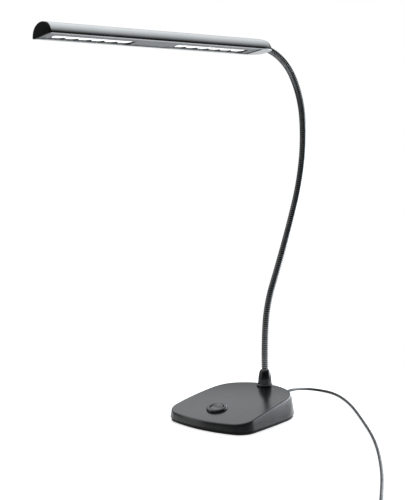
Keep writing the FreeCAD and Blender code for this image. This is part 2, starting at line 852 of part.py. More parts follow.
def draw_d(sketch, half_width, height, shoulder, inset=0, floor=0, mirrored=False):
    """The head's D: a flat floor, two shoulder arcs and a flatter crown, drawn in by inset."""
    inset, floor = as_size(inset), as_size(floor)
    side = half_width - shoulder
    sag = (side * side - (height - shoulder) * (height - shoulder)) / (2 * (height - shoulder))
    crown = height + sag
    reach = crown - shoulder
    touch_x = side + (shoulder - inset) * side / reach
    touch_z = (shoulder - inset) * sag / reach
    foot = side + root((shoulder - inset) * (shoulder - inset) - floor * floor)
    top = height - inset
    zero = as_size(0)
    draw(sketch, [(-foot, floor), (foot, floor), (touch_x, touch_z), (zero, top),
                  (-touch_x, touch_z)],
         {1: shoulder - inset, 2: crown - inset, 3: crown - inset, 4: shoulder - inset})


def head_d(sketch, inset=0, floor=0):
    draw_d(sketch, get("head_half_width"), get("head_height"), get("head_shoulder_radius"),
           inset, floor)


def across_head(body, name, distance):
    """A sketch across the head, at that distance from the neck's end."""
    return new_sketch(body, name, "YZ_Plane", (0, 0, distance))


def make_housing():
    wall = get("head_wall")
    lip = get("lip_thickness")
    start = get("nose_length")
    length = get("head_length") - get("cap_thickness")
    body = new_body("head_housing")
    sketch = across_head(body, "housing_outside", start)
    head_d(sketch)
    feature(body, "Pad", "housing_bar", sketch, Length=length)
    before = body.Shape.Volume
    sketch = across_head(body, "housing_inside", start)
    head_d(sketch, wall, lip)
    feature(body, "Pocket", "housing_hollow", sketch, Length=length, Reversed=True)
    sketch = across_head(body, "housing_slot", start)
    half = get("head_half_width") - wall - get("lip_width")
    draw(sketch, [(-half, -lip), (half, -lip), (half, lip * 2), (-half, lip * 2)])
    feature(body, "Pocket", "housing_open_side", sketch, Length=length, Reversed=True)
    if not body.Shape.Volume < 0.5 * before:
        raise RuntimeError("the head housing isn't hollow")
    node("head_housing", body)


def window_centres():
    """The middles of the two light windows along the head."""
    first = get("nose_length") + get("window_near_neck")
    return [first, first + get("window_spacing")]


def draw_slot(sketch, x, y, length, width, rounding):
    """A rectangle with round corners, centred on x, y."""
    left, right = x - length / 2, x + length / 2
    low, high = y - width / 2, y + width / 2
    draw(sketch,
         [(left + rounding, low), (right - rounding, low), (right, low + rounding),
          (right, high - rounding), (right - rounding, high), (left + rounding, high),
          (left, high - rounding), (left, low + rounding)],
         {1: rounding, 3: rounding, 5: rounding, 7: rounding})


def head_screw_xs(centre):
    return [centre - get("head_screw_offset"), centre + get("head_screw_offset")]


def make_under_plate():
    body = new_body("under_plate_blank")
    bottom = get("lip_thickness")
    thick = get("under_plate_thickness")
    side = get("head_half_width") - get("head_shoulder_radius")
    inner = get("head_shoulder_radius") - get("head_wall")
    half = side + root(inner * inner - (bottom + thick) * (bottom + thick)) - get("fit_gap")
    start = get("nose_length") + get("fit_gap")
    end = get("nose_length") + get("head_length") - get("cap_thickness") - get("fit_gap")
    sketch = new_sketch(body, "under_plate_outline", "XY_Plane", (0, 0, bottom))
    draw(sketch, [(start, -half), (end, -half), (end, half), (start, half)])
    feature(body, "Pad", "under_plate_sheet", sketch, Length=thick)
    before = body.Shape.Volume
    for i, centre in enumerate(window_centres()):
        sketch = new_sketch(body, f"window_outline_{i}", "XY_Plane", (0, 0, bottom))
        draw_slot(sketch, centre, get("window_offset"), get("window_length"), get("window_width"),
                  get("window_round"))
        feature(body, "Pocket", f"window_{i}", sketch, Length=thick, Reversed=True)
    if not body.Shape.Volume < 0.85 * before:
        raise RuntimeError("the under plate has no windows")
    sinks = []
    gap = get("running_gap")
    for i, centre in enumerate(window_centres()):
        for j, x in enumerate(head_screw_xs(centre)):
            sinks.append(primitive("Cone", f"under_sink_{i}{j}", (x, get("head_screw_side"), bottom),
                                   Radius1=get("head_screw_head_radius") + gap,
                                   Radius2=get("head_screw_radius") + gap, Height=thick))
    return cut("head_plate", body, fuse("under_sinks", sinks))


def make_light_frame(i, centre):
    """Thin frame behind a window, its opening a row of overlapping scallops."""
    body = new_body(f"frame_blank_{i}")
    bottom = get("lip_thickness") + get("under_plate_thickness")
    length = get("window_length") + get("frame_lug") * 2
    sketch = new_sketch(body, f"frame_outline_{i}", "XY_Plane", (0, 0, bottom))
    draw_slot(sketch, centre, get("window_offset"), length, get("frame_width"), get("window_round"))
    feature(body, "Pad", f"frame_sheet_{i}", sketch, Length=get("frame_thickness"))
    lens = primitive("Box", f"frame_slot_{i}",
                     (centre - get("window_length") / 2, get("window_offset") - get("window_width") / 2,
                      bottom),
                     Length=get("window_length"), Width=get("window_width"),
                     Height=get("frame_thickness"))
    rounds = fuse(f"frame_rounds_{i}",
                  [primitive("Cylinder", f"scallop_{i}{j}", (x, get("window_offset"), bottom),
                             Radius=get("scallop_radius"), Height=get("frame_thickness"))
                   for j, x in enumerate(lamp_xs(centre))])
    screws = [primitive("Cylinder", f"frame_screw_room_{i}{j}", (x, get("head_screw_side"), bottom),
                        Radius=get("head_screw_radius") + get("running_gap"),
                        Height=get("frame_thickness"))
              for j, x in enumerate(head_screw_xs(centre))]
    opening = common(f"frame_opening_{i}", [lens, rounds])
    return cut(f"light_frame_{i + 1}", body, fuse(f"frame_rooms_{i}", [opening] + screws))


def lamp_xs(centre):
    """The lamps' middles along one window."""
    count = int(sheet.lamps_per_window)
    return [centre + get("lamp_pitch") * (j - (count - 1) / 2) for j in range(count)]


def make_reflector(i, centre):
    """Moulded tray with one funnel for each lamp."""
    bottom = get("lip_thickness") + get("under_plate_thickness") + get("frame_thickness")
    tall = get("reflector_height")
    length = get("window_length") + get("frame_lug") * 2
    body = new_body(f"tray_blank_{i}")
    sketch = new_sketch(body, f"tray_outline_{i}", "XY_Plane", (0, 0, bottom))
    draw_slot(sketch, centre, get("window_offset"), length, get("frame_width"), get("window_round"))
    feature(body, "Pad", f"tray_pad_{i}", sketch, Length=tall)
    cups = [primitive("Cone", f"cup_{i}{j}", (x, get("window_offset"), bottom),
                      Radius1=get("cup_radius"), Radius2=get("cup_hole_radius"), Height=tall)
            for j, x in enumerate(lamp_xs(centre))]
    screws = [primitive("Cylinder", f"tray_screw_room_{i}{j}", (x, get("head_screw_side"), bottom),
                        Radius=get("head_screw_radius") + get("running_gap"), Height=tall)
              for j, x in enumerate(head_screw_xs(centre))]
    return cut(f"reflector_{i + 1}", body, fuse(f"tray_rooms_{i}", cups + screws))


def light_stack():
    """Height of the reflectors' top above the head's underside."""
    return (get("lip_thickness") + get("under_plate_thickness") + get("frame_thickness")
            + get("reflector_height"))


def make_lamps(i, centre):
    """Board above the reflector, with its lamps hanging into the funnels."""
    bottom = light_stack()
    board = primitive("Box", f"board_sheet_{i}",
                      (centre - get("window_length") / 2,
                       get("window_offset") - get("led_board_width") / 2, bottom),
                      Length=get("window_length"), Width=get("led_board_width"),
                      Height=get("led_board_thickness"))
    lamps = []
    for j, x in enumerate(lamp_xs(centre)):
        lamps.append(primitive("Cone", f"lamp_{i}{j}", (x, get("window_offset"), bottom - get("led_height")),
                               Radius1=get("led_radius") * 0.7, Radius2=get("led_radius"),
                               Height=get("led_height")))
    return group(f"led_board_{i + 1}", [board]), group(f"leds_{i + 1}", lamps)


def make_head_screws():
    bottom = get("lip_thickness")
    gap = get("fit_gap")
    reach = light_stack() - bottom - gap
    screws = []
    for i, centre in enumerate(window_centres()):
        for j, x in enumerate(head_screw_xs(centre)):
            place = (x, get("head_screw_side"), bottom)
            head = primitive("Cone", f"head_screw_cone_{i}{j}", place,
                             Radius1=get("head_screw_head_radius"),
                             Radius2=get("head_screw_radius"), Height=get("under_plate_thickness"))
            shank = primitive("Cylinder", f"head_screw_shank_{i}{j}", place,
                              Radius=get("head_screw_radius"), Height=reach)
            screws.append(fuse(f"head_screw_{i}{j}", [head, shank]))
    return group("head_screws", screws)


def make_cap():
    """Flat black cap with a rim that plugs into the housing."""
    body = new_body("end_cap")
    cap = get("cap_thickness")
    start = get("nose_length") + get("head_length") - cap
    sketch = across_head(body, "cap_outline", start)
    head_d(sketch)
    feature(body, "Pad", "cap_plate", sketch, Length=cap)
    plug_rim(body, "cap", start, Reversed=True)
    return body


def plug_rim(body, name, place, Reversed):
    """A hollow rim that slips into the housing above its light frames."""
    gap = get("fit_gap")
    floor = light_stack() + gap
    inset = get("head_wall") + gap
    wall = get("cap_spigot_wall")
    outside = across_head(body, f"{name}_rim_outside", place)
    head_d(outside, inset, floor)
    feature(body, "Pad", f"{name}_rim", outside, Length=get("cap_spigot"), Reversed=Reversed)
    before = body.Shape.Volume
    inside = across_head(body, f"{name}_rim_inside", place)
    head_d(inside, inset + wall, floor + wall)
    feature(body, "Pocket", f"{name}_rim_hollow", inside, Length=get("cap_spigot"),
            Reversed=not Reversed)
    if not body.Shape.Volume < before:
        raise RuntimeError(f"{name}: the rim is solid")


def make_nose(neck_axis):
    """Rounded end of the head: D sections that shrink to the neck, with its slanting socket."""
    body = new_body("nose_blank")
    length = get("nose_length")
    half, tall = get("head_half_width"), get("head_height")
    tip_half, tip_tall = get("nose_tip_half_width"), get("nose_tip_height")
    sections = []
    for i, share in enumerate((0.0, 0.15, 0.4, 0.7, 1.0)):
        swell = math.sqrt(1 - (1 - share) ** 2)
        here = tip_tall + (tall - tip_tall) * swell
        shoulder = here * (get("head_shoulder_radius") / tall if share > 0 else get("nose_flank"))
        sketch = across_head(body, f"nose_section_{i}", length * share)
        draw_d(sketch, tip_half + (half - tip_half) * swell, here, shoulder)
        sections.append(sketch)
    loft = body.newObject("PartDesign::AdditiveLoft", "nose_loft")
    loft.Profile = sections[0]
    loft.Sections = sections[1:]
    doc.recompute()
    plug_rim(body, "nose", length, Reversed=False)
    reach = get("spigot_length")
    rooms = [primitive("Cylinder", "nose_socket", Height=reach + get("running_gap"),
                       Radius=get("spigot_radius") + get("running_gap")),
             primitive("Cylinder", "nose_mouth", (0, 0, -reach), Height=reach,
                       Radius=get("neck_radius") + get("fit_gap")),
             primitive("Cylinder", "nose_lead_way", Height=length * 1.5,
                       Radius=get("neck_bore_radius") + get("fit_gap"))]
    room = fuse("nose_rooms", rooms)
    room.Placement = Placement(Vector(0, 0, sheet.head_drop), Rotation(Vector(0, 0, 1), neck_axis))
    return cut("nose_cap", body, room)


def head_turn():
    """The head's directions in the neck's frame: it points forward, dips and rolls."""
    heading = Rotation(Vector(0, 0, 1), 180)
    pitch = Rotation(Vector(0, 1, 0), -sheet.head_pitch)
    roll = Rotation(Vector(1, 0, 0), sheet.head_roll)
    return heading.multiply(pitch).multiply(roll)


def head_placement(frame, end):
    """The head's own frame: X from the neck to the free end, Z square to its flat underside."""
    turn = head_turn()
    drop = turn.multVec(Vector(0, 0, -sheet.head_drop))
    return frame.multiply(Placement(end + drop, turn))


def make_head(frame, end, neck_lean):
    place = head_placement(frame, end)
    neck_axis = head_turn().inverted().multVec(leaning(neck_lean))
    pieces = {"nose_cap": make_nose(neck_axis), "end_cap": make_cap(),
              "head_plate": make_under_plate(), "head_screws": make_head_screws()}
    make_housing()
    pieces["head_housing"] = NODES["head_housing"]
    for i, centre in enumerate(window_centres()):
        pieces[f"light_frame_{i + 1}"] = make_light_frame(i, centre)
        pieces[f"reflector_{i + 1}"] = make_reflector(i, centre)
        pieces[f"led_board_{i + 1}"], pieces[f"leds_{i + 1}"] = make_lamps(i, centre)
    for name, item in pieces.items():
        item.Placement = place.multiply(item.Placement)
        node(name, item)
    print("head frame", place)


# ---------------------------------------------------------------- cord

# The lead from the strain relief to the coil, chosen by hand, in millimetres.
CORD_ROUTE = [
    (0, 103, 14), (0, 117, 14), (-2, 131, 12.4), (-6, 146, 9.6), (-8, 160, 6.8), (-5, 174, 4.2),
    (6, 183, 2.4), (21, 183, 1.9), (38, 175, 1.9), (58, 160, 1.9), (79, 141, 1.9), (103, 116, 1.9),
    (137, 78, 1.9), (171, 39, 1.9), (202, -1, 1.9), (231, -43, 1.9), (260, -88, 1.9),
    (286, -133, 1.9), (311, -178, 1.9), (333.5, -219, 1.9),
]
COIL_CENTRE = (356.3, -207.3)
# From the coil's top turn to the adapter.
CORD_END_ROUTE = [(338.3, -225.3, 9.2), (350, -235.5, 7.5), (360.5, -247.5, 6.5), (370, -259, 6.5)]


def rounded_path(points):
    """Straight runs joined by tangent arcs as large as the two runs allow."""
    edges, radii = [], []
    last = points[0]
    for before, here, after in zip(points, points[1:], points[2:]):
        arrive, leave = here - before, after - here
        turn = arrive.getAngle(leave)
        reach = 0.45 * min(arrive.Length, leave.Length)
        radii.append(reach / math.tan(turn / 2))
        start = here - Vector(arrive).normalize() * reach
        end = here + Vector(leave).normalize() * reach
        bisector = (Vector(leave).normalize() - Vector(arrive).normalize()).normalize()
        middle = here + bisector * radii[-1] * (1 / math.cos(turn / 2) - 1)
        edges += [Part.LineSegment(last, start).toShape(), Part.Arc(start, middle, end).toShape()]
        last = end
    edges.append(Part.LineSegment(last, points[-1]).toShape())
    return Part.Wire(edges), radii


def cord_tube(name, points):
    """A stretch of the cord along its route."""
    path, radii = rounded_path(points)
    section = Part.Wire([Part.Edge(Part.Circle(points[0], points[1] - points[0], sheet.cord_radius))])
    tube = path.makePipeShell([section], True, False)
    expected = math.pi * sheet.cord_radius ** 2 * path.Length
    print(f"{name} length {path.Length:.1f}, arcs {[round(radius, 1) for radius in radii]}, "
          f"volume against section times length {tube.Volume / expected:.4f}")
    node(name, shaped(name, tube))


def make_cord(cord_face):
    tip = cord_face + get("relief_flange_thickness") + get("relief_length")
    points = [Vector(*point) for point in CORD_ROUTE]
    points[0] = Vector(0, tip.value, sheet.cord_height)
    cord_tube("power_cord", points)
    cord_tube("power_cord_end", [Vector(*point) for point in CORD_END_ROUTE])

    height = get("coil_height")
    tie = get("tie_thickness")
    outer = get("coil_radius") + get("coil_width") / 2
    inner = get("coil_radius") - get("coil_width") / 2
    x, y = COIL_CENTRE
    ring_solid = cut("power_cord_coil",
                     primitive("Cylinder", "coil_outside", (x, y, tie), Radius=outer, Height=height),
                     primitive("Cylinder", "coil_inside", (x, y, tie), Radius=inner, Height=height))
    node("power_cord_coil", ring_solid)
    width = get("tie_width")
    band = cut("cord_tie",
               primitive("Box", "tie_outside", (x - width / 2, y + inner - tie, 0), Length=width,
                         Width=get("coil_width") + tie * 2, Height=height + tie * 2),
               primitive("Box", "tie_inside", (x - width / 2, y + inner - get("tie_slack"), tie),
                         Length=width, Width=get("coil_width") + get("tie_slack"), Height=height))
    node("cord_tie", band)


def make_adapter():
    """Plug-in power supply: a rounded block with the cord at one end and two blades at the other."""
    body = new_body("adapter_blank")
    relief = get("adapter_relief_length")
    length, width, tall = get("adapter_length"), get("adapter_width"), get("adapter_height")
    sketch = new_sketch(body, "adapter_outline", "YZ_Plane", (0, 0, relief))
    floor = -get("adapter_cord_height")
    draw(sketch, [(-width / 2, floor), (width / 2, floor), (width / 2, floor + tall),
                  (-width / 2, floor + tall)])
    pad = feature(body, "Pad", "adapter_block", sketch, Length=length)
    count = len(pad.Shape.Edges)
    round_edges(body, "adapter_rounds", pad, range(1, count + 1), get("adapter_round"))
    sleeve = primitive("Cone", "adapter_sleeve", turn=(Vector(0, 1, 0), 90),
                       Radius1=get("relief_tip_radius"), Radius2=get("adapter_relief_radius"),
                       Height=relief + get("adapter_round"))
    slots, blades = [], []
    mid = floor + tall / 2
    for i, side in enumerate((-1, 1)):
        place = (relief + length - get("adapter_round"),
                 side * get("prong_spacing") / 2 - get("prong_thickness") / 2,
                 mid - get("prong_width") / 2)
        for name, found in (("slot", slots), ("blade", blades)):
            found.append(primitive("Box", f"prong_{name}_{i}", place,
                                   Length=get("prong_length") + get("adapter_round"),
                                   Width=get("prong_thickness"), Height=get("prong_width")))
    adapter = cut("power_adapter", fuse("adapter_solid", [body, sleeve]), fuse("prong_slots", slots))
    prongs = group("adapter_prongs", blades)
    before, last = (Vector(*point) for point in CORD_END_ROUTE[-2:])
    heading = math.degrees(math.atan2(last.y - before.y, last.x - before.x))
    for name, item in (("power_adapter", adapter), ("adapter_prongs", prongs)):
        item.Placement = Placement(Vector(last.x, last.y, sheet.adapter_cord_height),
                                   Rotation(Vector(0, 0, 1), heading))
        node(name, item)


def make_relief(cord_face):
    """Rubber sleeve that keeps the cord from kinking where it leaves the housing."""
    body = new_body("strain_relief")
    sketch = new_sketch(body, "relief_profile", "XY_Plane")
    wall = get("housing_wall") + get("cord_seat_rise") * 2
    flange = get("relief_flange_thickness")
    rim, stem, tip = get("relief_flange_radius"), get("relief_root_radius"), get("relief_tip_radius")
    zero = as_size(0)
    draw(sketch, [(zero, -wall - flange), (rim, -wall - flange), (rim, -wall), (stem, -wall),
                  (stem, zero), (rim, zero), (rim, flange), (stem, flange),
                  (tip, flange + get("relief_length")), (zero, flange + get("relief_length"))])
    feature(body, "Revolution", "relief_turned", sketch, ReferenceAxis=(sketch, ["V_Axis"]),
            Angle=360.0)
    bind(body, "Placement.Base.y", cord_face)
    bind(body, "Placement.Base.z", get("cord_height"))
    node("strain_relief", body)


seat_height, cord_wall = make_base()
make_underside()
make_ballast()
make_driver()
make_switch()
make_collar(seat_height)
neck_place, neck_end, end_lean = make_neck(seat_height)
make_head(neck_place, neck_end, end_lean)
make_relief(cord_wall)
make_cord(cord_wall)
make_adapter()
doc.recompute()

for item in doc.Objects:
    if any(word in ("Invalid", "Error") for word in item.State):
        raise RuntimeError(f"{item.Name} failed: {item.State}")
for name, item in NODES.items():
    if item.Shape.isNull() or not item.Shape.isValid() or not item.Shape.Solids:
        raise RuntimeError(f"{name} has no valid solid")
os.makedirs("parts", exist_ok=True)
for name, item in NODES.items():
    item.Shape.exportStep(f"parts/{name}.step")
    box = item.Shape.BoundBox
    print(f"{name:18s} {len(item.Shape.Solids)} solids {item.Shape.Volume / 1000:8.2f} cm3  "
          f"x {box.XMin:7.1f} {box.XMax:7.1f}  y {box.YMin:7.1f} {box.YMax:7.1f}  "
          f"z {box.ZMin:7.1f} {box.ZMax:7.1f}")
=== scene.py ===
"""Piano lamp: the finish, the wound neck and the lead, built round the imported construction.

Metres, +Z up, origin under the middle of the base, the switch at the front (-Y).
"""

import json
import math

import bmesh
import bpy
import numpy as np
from mathutils import Matrix, Vector


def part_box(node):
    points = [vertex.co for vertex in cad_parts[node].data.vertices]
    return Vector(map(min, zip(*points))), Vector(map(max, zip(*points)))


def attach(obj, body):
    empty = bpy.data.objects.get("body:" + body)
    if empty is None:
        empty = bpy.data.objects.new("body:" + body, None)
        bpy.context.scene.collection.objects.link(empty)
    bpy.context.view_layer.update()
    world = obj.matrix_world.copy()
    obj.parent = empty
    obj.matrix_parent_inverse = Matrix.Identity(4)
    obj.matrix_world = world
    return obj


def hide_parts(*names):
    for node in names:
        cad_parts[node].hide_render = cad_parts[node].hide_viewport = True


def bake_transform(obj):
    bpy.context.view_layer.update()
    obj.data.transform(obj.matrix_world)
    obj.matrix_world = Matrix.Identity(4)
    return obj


MM = 0.001
CREASE = 35.0               # degrees past which two faces meet in a seen edge
SAME_PLANE = 0.5            # degrees up to which two faces are one
SAME_PLACE = 1e-6           # metres up to which two points are one
FINE_ROUND, PLAIN_ROUND = 96, 48    # points round a seen and a small turned piece
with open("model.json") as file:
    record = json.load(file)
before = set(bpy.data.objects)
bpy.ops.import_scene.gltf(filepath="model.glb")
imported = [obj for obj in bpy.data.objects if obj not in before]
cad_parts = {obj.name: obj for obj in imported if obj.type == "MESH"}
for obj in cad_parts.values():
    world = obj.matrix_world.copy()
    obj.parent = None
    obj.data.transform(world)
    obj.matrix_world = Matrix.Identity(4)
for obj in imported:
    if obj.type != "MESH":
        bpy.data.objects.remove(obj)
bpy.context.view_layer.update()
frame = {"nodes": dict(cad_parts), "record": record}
nodes = frame["nodes"]


# ---------------------------------------------------------------- meshes

def new_object(name, data):
    """An object at the origin that shows a mesh or a curve, or holds a light or a camera."""
    thing = bpy.data.objects.new(name, data)
    bpy.context.scene.collection.objects.link(thing)
    return thing


def smoothed(mesh, crease=CREASE):
    """Shades faces that meet at less than crease degrees as one surface."""
    mesh.shade_smooth()
    mesh.set_sharp_from_angle(angle=math.radians(crease))
    return mesh


def add_piece(name, points, faces, material, crease=CREASE):
    """A mesh object from points in metres and faces as lists of corners."""
    mesh = bpy.data.meshes.new(name)
    mesh.from_pydata(np.asarray(points, float).tolist(), [], [list(map(int, face)) for face in faces])
    mesh.validate()
    mesh.materials.append(material)
    return new_object(name, smoothed(mesh, crease))


def grid_faces(rows, columns, first=0):
    """Quads of a grid that closes on itself across its columns: row i, column j to i + 1, j + 1."""
    row = np.arange(rows - 1)[:, None] * columns
    here = np.arange(columns)[None, :]
    after = (here + 1) % columns
    quads = np.stack([row + here, row + after, row + columns + after, row + columns + here], axis=-1)
    return (quads + first).reshape(-1, 4)


def closed_loft(rings):
    """Points and faces of a tube through rings of equal length, both ends closed by a flat face.

    The rings turn counter-clockwise as seen from the last one."""
    rows, columns, _ = rings.shape
    faces = [list(face) for face in grid_faces(rows, columns)]
    faces.append(list(range(columns))[::-1])
    faces.append([(rows - 1) * columns + j for j in range(columns)])
    return rings.reshape(-1, 3), faces


def closed_tube(rings):
    """Points and faces of a turned ring whose profile ends where it starts."""
    rows, columns, _ = rings.shape
    faces = [list(face) for face in grid_faces(rows, columns)]
    for j in range(columns):
        k = (j + 1) % columns
        faces.append([(rows - 1) * columns + j, (rows - 1) * columns + k, k, j])
    return rings.reshape(-1, 3), faces


def frame_about(axis):
    """Two directions square to an axis, and the axis, as the columns of a matrix."""
    axis = np.asarray(axis, float) / np.linalg.norm(axis)
    side = np.cross(axis, (1.0, 0.0, 0.0) if abs(axis[0]) < 0.9 else (0.0, 1.0, 0.0))
    side /= np.linalg.norm(side)
    return np.stack([side, np.cross(axis, side), axis], axis=1)


def turned(profile, place, axis, count):
    """Rings of a turned piece: radius and height along the axis, carried round a full circle."""
    angle = np.linspace(0, 2 * math.pi, count, endpoint=False)
    radius, height = np.asarray(profile, float).T
    local = np.stack([radius[:, None] * np.cos(angle), radius[:, None] * np.sin(angle),
                      np.repeat(height[:, None], count, axis=1)], axis=-1)
    return local @ frame_about(axis).T + np.asarray(place, float)


def bend_profile(corners, steps=6):
    """A profile through corners (radius, height, rounding): each corner is eased by a curve that
    starts and ends the rounding away from it, the square of the way between the two sides."""
    corners = np.asarray(corners, float)
    points = [corners[0, :2]]
    for before, here, after in zip(corners, corners[1:], corners[2:]):
        corner, ease = here[:2], here[2]
        if ease <= 0:
            points.append(corner)
            continue
        to_before, to_after = before[:2] - corner, after[:2] - corner
        start = corner + to_before * min(ease / np.linalg.norm(to_before), 0.5)
        end = corner + to_after * min(ease / np.linalg.norm(to_after), 0.5)
        share = np.linspace(0, 1, steps)[:, None]
        points.extend((1 - share) ** 2 * start + 2 * share * (1 - share) * corner + share ** 2 * end)
    points.append(corners[-1, :2])
    return np.array(points)


def dress(node, name, material, bevel=0.0, parting=None):
    """A copy of a CAD node's mesh with its doubles merged and its edges broken, which replaces it.

    parting is a point and a direction of a plane, and the finish of what lies beyond it."""
    mesh = nodes[node].data.copy()
    mesh.name = name
    work = bmesh.new()
    work.from_mesh(mesh)
    bmesh.ops.remove_doubles(work, verts=work.verts, dist=SAME_PLACE)
    bmesh.ops.dissolve_limit(work, angle_limit=math.radians(SAME_PLANE), verts=work.verts,
                             edges=work.edges)
    mesh.materials.clear()
    mesh.materials.append(material)
    if parting:
        place, way, beyond = parting
        mesh.materials.append(beyond)
        bmesh.ops.bisect_plane(work, geom=[*work.verts, *work.edges, *work.faces], plane_co=place,
                               plane_no=way)
        for face in work.faces:
            face.material_index = int((face.calc_center_median() - place).dot(way) > SAME_PLACE)
    work.to_mesh(mesh)
    work.free()
    piece = new_object(name, smoothed(mesh))
    if bevel:
        break_edges(piece, bevel)
    return finish_piece(piece, frame_body(node), node)


def break_edges(piece, width):
    """Rounds the sharp edges a little, so that they catch the light."""
    bevel = piece.modifiers.new("broken_edges", "BEVEL")
    bevel.width = width
    bevel.segments = 2
    bevel.limit_method = "ANGLE"
    bevel.angle_limit = math.radians(CREASE)
    bevel.harden_normals = True


def drill(piece, holes):
    """Cuts round holes: each a centre, an axis, a radius and half a length."""
    cutters = []
    for i, (place, axis, radius, reach) in enumerate(holes):
        rings = turned([(radius, -reach), (radius, reach)], place, axis, FINE_ROUND)
        cutters.append(add_piece(f"cutter_{i}", *closed_loft(rings), piece.data.materials[0]))
        cut = piece.modifiers.new("hole", "BOOLEAN")
        cut.object = cutters[-1]
        cut.solver = "EXACT"
    bpy.context.view_layer.update()
    done = bpy.data.meshes.new_from_object(piece.evaluated_get(bpy.context.evaluated_depsgraph_get()))
    piece.modifiers.clear()
    piece.data = done
    done.set_sharp_from_angle(angle=math.radians(CREASE))
    for cutter in cutters:
        bpy.data.objects.remove(cutter)


def frame_body(node):
    """The body that carries a node."""
    return next(body for body, members in frame["record"]["behaviour"]["bodies"].items()
                if node in members)


def finish_piece(piece, body, *stands_for):
    """Hangs a piece on its body in place of the nodes that it stands for."""
    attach(piece, body)
    if stands_for:
        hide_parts(*stands_for)
    return piece


# ---------------------------------------------------------------- finishes

PATCH_SPAN = (0.34, 0.66)   # noise values at which a patch starts and is full
COARSE_SIZE = 0.45          # cells of the coarse grain for each of the fine one
DRAWN_OUT = 0.012           # how much slower a drawn line changes along the bar than across it


def new_group(name, inputs, outputs):
    """A shader node group with named sockets: (name, kind, default)."""
    group = bpy.data.node_groups.new(name, "ShaderNodeTree")
    for label, kind, default in inputs:
        socket = group.interface.new_socket(label, in_out="INPUT", socket_type=kind)
        if default is not None:
            socket.default_value = default
    for label, kind in outputs:
        group.interface.new_socket(label, in_out="OUTPUT", socket_type=kind)
    return group, group.nodes.new("NodeGroupInput"), group.nodes.new("NodeGroupOutput")


def uneven_finish():
    """Handled look: soft patches that shift the roughness between two values, and their mask."""
    group, start, end = new_group(
        "uneven_finish",
        [("Place", "NodeSocketVector", None), ("Patch size", "NodeSocketFloat", 40.0),
         ("Roughness low", "NodeSocketFloat", 0.3), ("Roughness high", "NodeSocketFloat", 0.4)],
        [("Roughness", "NodeSocketFloat"), ("Mask", "NodeSocketFloat")])
    patches = group.nodes.new("ShaderNodeTexNoise")
    patches.inputs["Detail"].default_value = 5.0
    patches.inputs["Roughness"].default_value = 0.62
    link = group.links.new
    link(start.outputs["Place"], patches.inputs["Vector"])
    link(start.outputs["Patch size"], patches.inputs["Scale"])
    reach, mask = [group.nodes.new("ShaderNodeMapRange") for _ in range(2)]
    for node in (reach, mask):
        node.inputs["From Min"].default_value, node.inputs["From Max"].default_value = PATCH_SPAN
        link(patches.outputs["Fac"], node.inputs["Value"])
    link(start.outputs["Roughness low"], reach.inputs["To Min"])
    link(start.outputs["Roughness high"], reach.inputs["To Max"])
    link(reach.outputs["Result"], end.inputs["Roughness"])
    link(mask.outputs["Result"], end.inputs["Mask"])
    return group


def moulded_grain():
    """Fine pebbled skin of coated or moulded surfaces: two noises of different size, added."""
    group, start, end = new_group(
        "moulded_grain",
        [("Place", "NodeSocketVector", None), ("Grains per metre", "NodeSocketFloat", 1500.0),
         ("Coarse share", "NodeSocketFloat", 0.4)],
        [("Height", "NodeSocketFloat")])
    fine = group.nodes.new("ShaderNodeTexNoise")
    fine.inputs["Detail"].default_value = 2.0
    coarse = group.nodes.new("ShaderNodeTexVoronoi")
    coarse.feature = "SMOOTH_F1"
    ratio = group.nodes.new("ShaderNodeMath")
    ratio.operation = "MULTIPLY"
    ratio.inputs[1].default_value = COARSE_SIZE
    mix = group.nodes.new("ShaderNodeMix")
    link = group.links.new
    link(start.outputs["Place"], fine.inputs["Vector"])
    link(start.outputs["Place"], coarse.inputs["Vector"])
    link(start.outputs["Grains per metre"], fine.inputs["Scale"])
    link(start.outputs["Grains per metre"], ratio.inputs[0])
    link(ratio.outputs["Value"], coarse.inputs["Scale"])
    link(start.outputs["Coarse share"], mix.inputs["Factor"])
    link(fine.outputs["Fac"], mix.inputs["A"])
    link(coarse.outputs["Distance"], mix.inputs["B"])
    link(mix.outputs["Result"], end.inputs["Height"])
    return group


def drawn_lines():
    """Fine lines along a bar, as an extruded and anodised one has: noise drawn out along X."""
    group, start, end = new_group(
        "drawn_lines",
        [("Place", "NodeSocketVector", None), ("Lines per metre", "NodeSocketFloat", 2500.0)],
        [("Height", "NodeSocketFloat")])
    squeeze = group.nodes.new("ShaderNodeVectorMath")
    squeeze.operation = "MULTIPLY"
    squeeze.inputs[1].default_value = (DRAWN_OUT, 1.0, 1.0)
    lines = group.nodes.new("ShaderNodeTexNoise")
    lines.inputs["Detail"].default_value = 3.0
    link = group.links.new
    link(start.outputs["Place"], squeeze.inputs[0])
    link(squeeze.outputs["Vector"], lines.inputs["Vector"])
    link(start.outputs["Lines per metre"], lines.inputs["Scale"])
    link(lines.outputs["Fac"], end.inputs["Height"])
    return group


UNEVEN, GRAIN, LINES = uneven_finish(), moulded_grain(), drawn_lines()


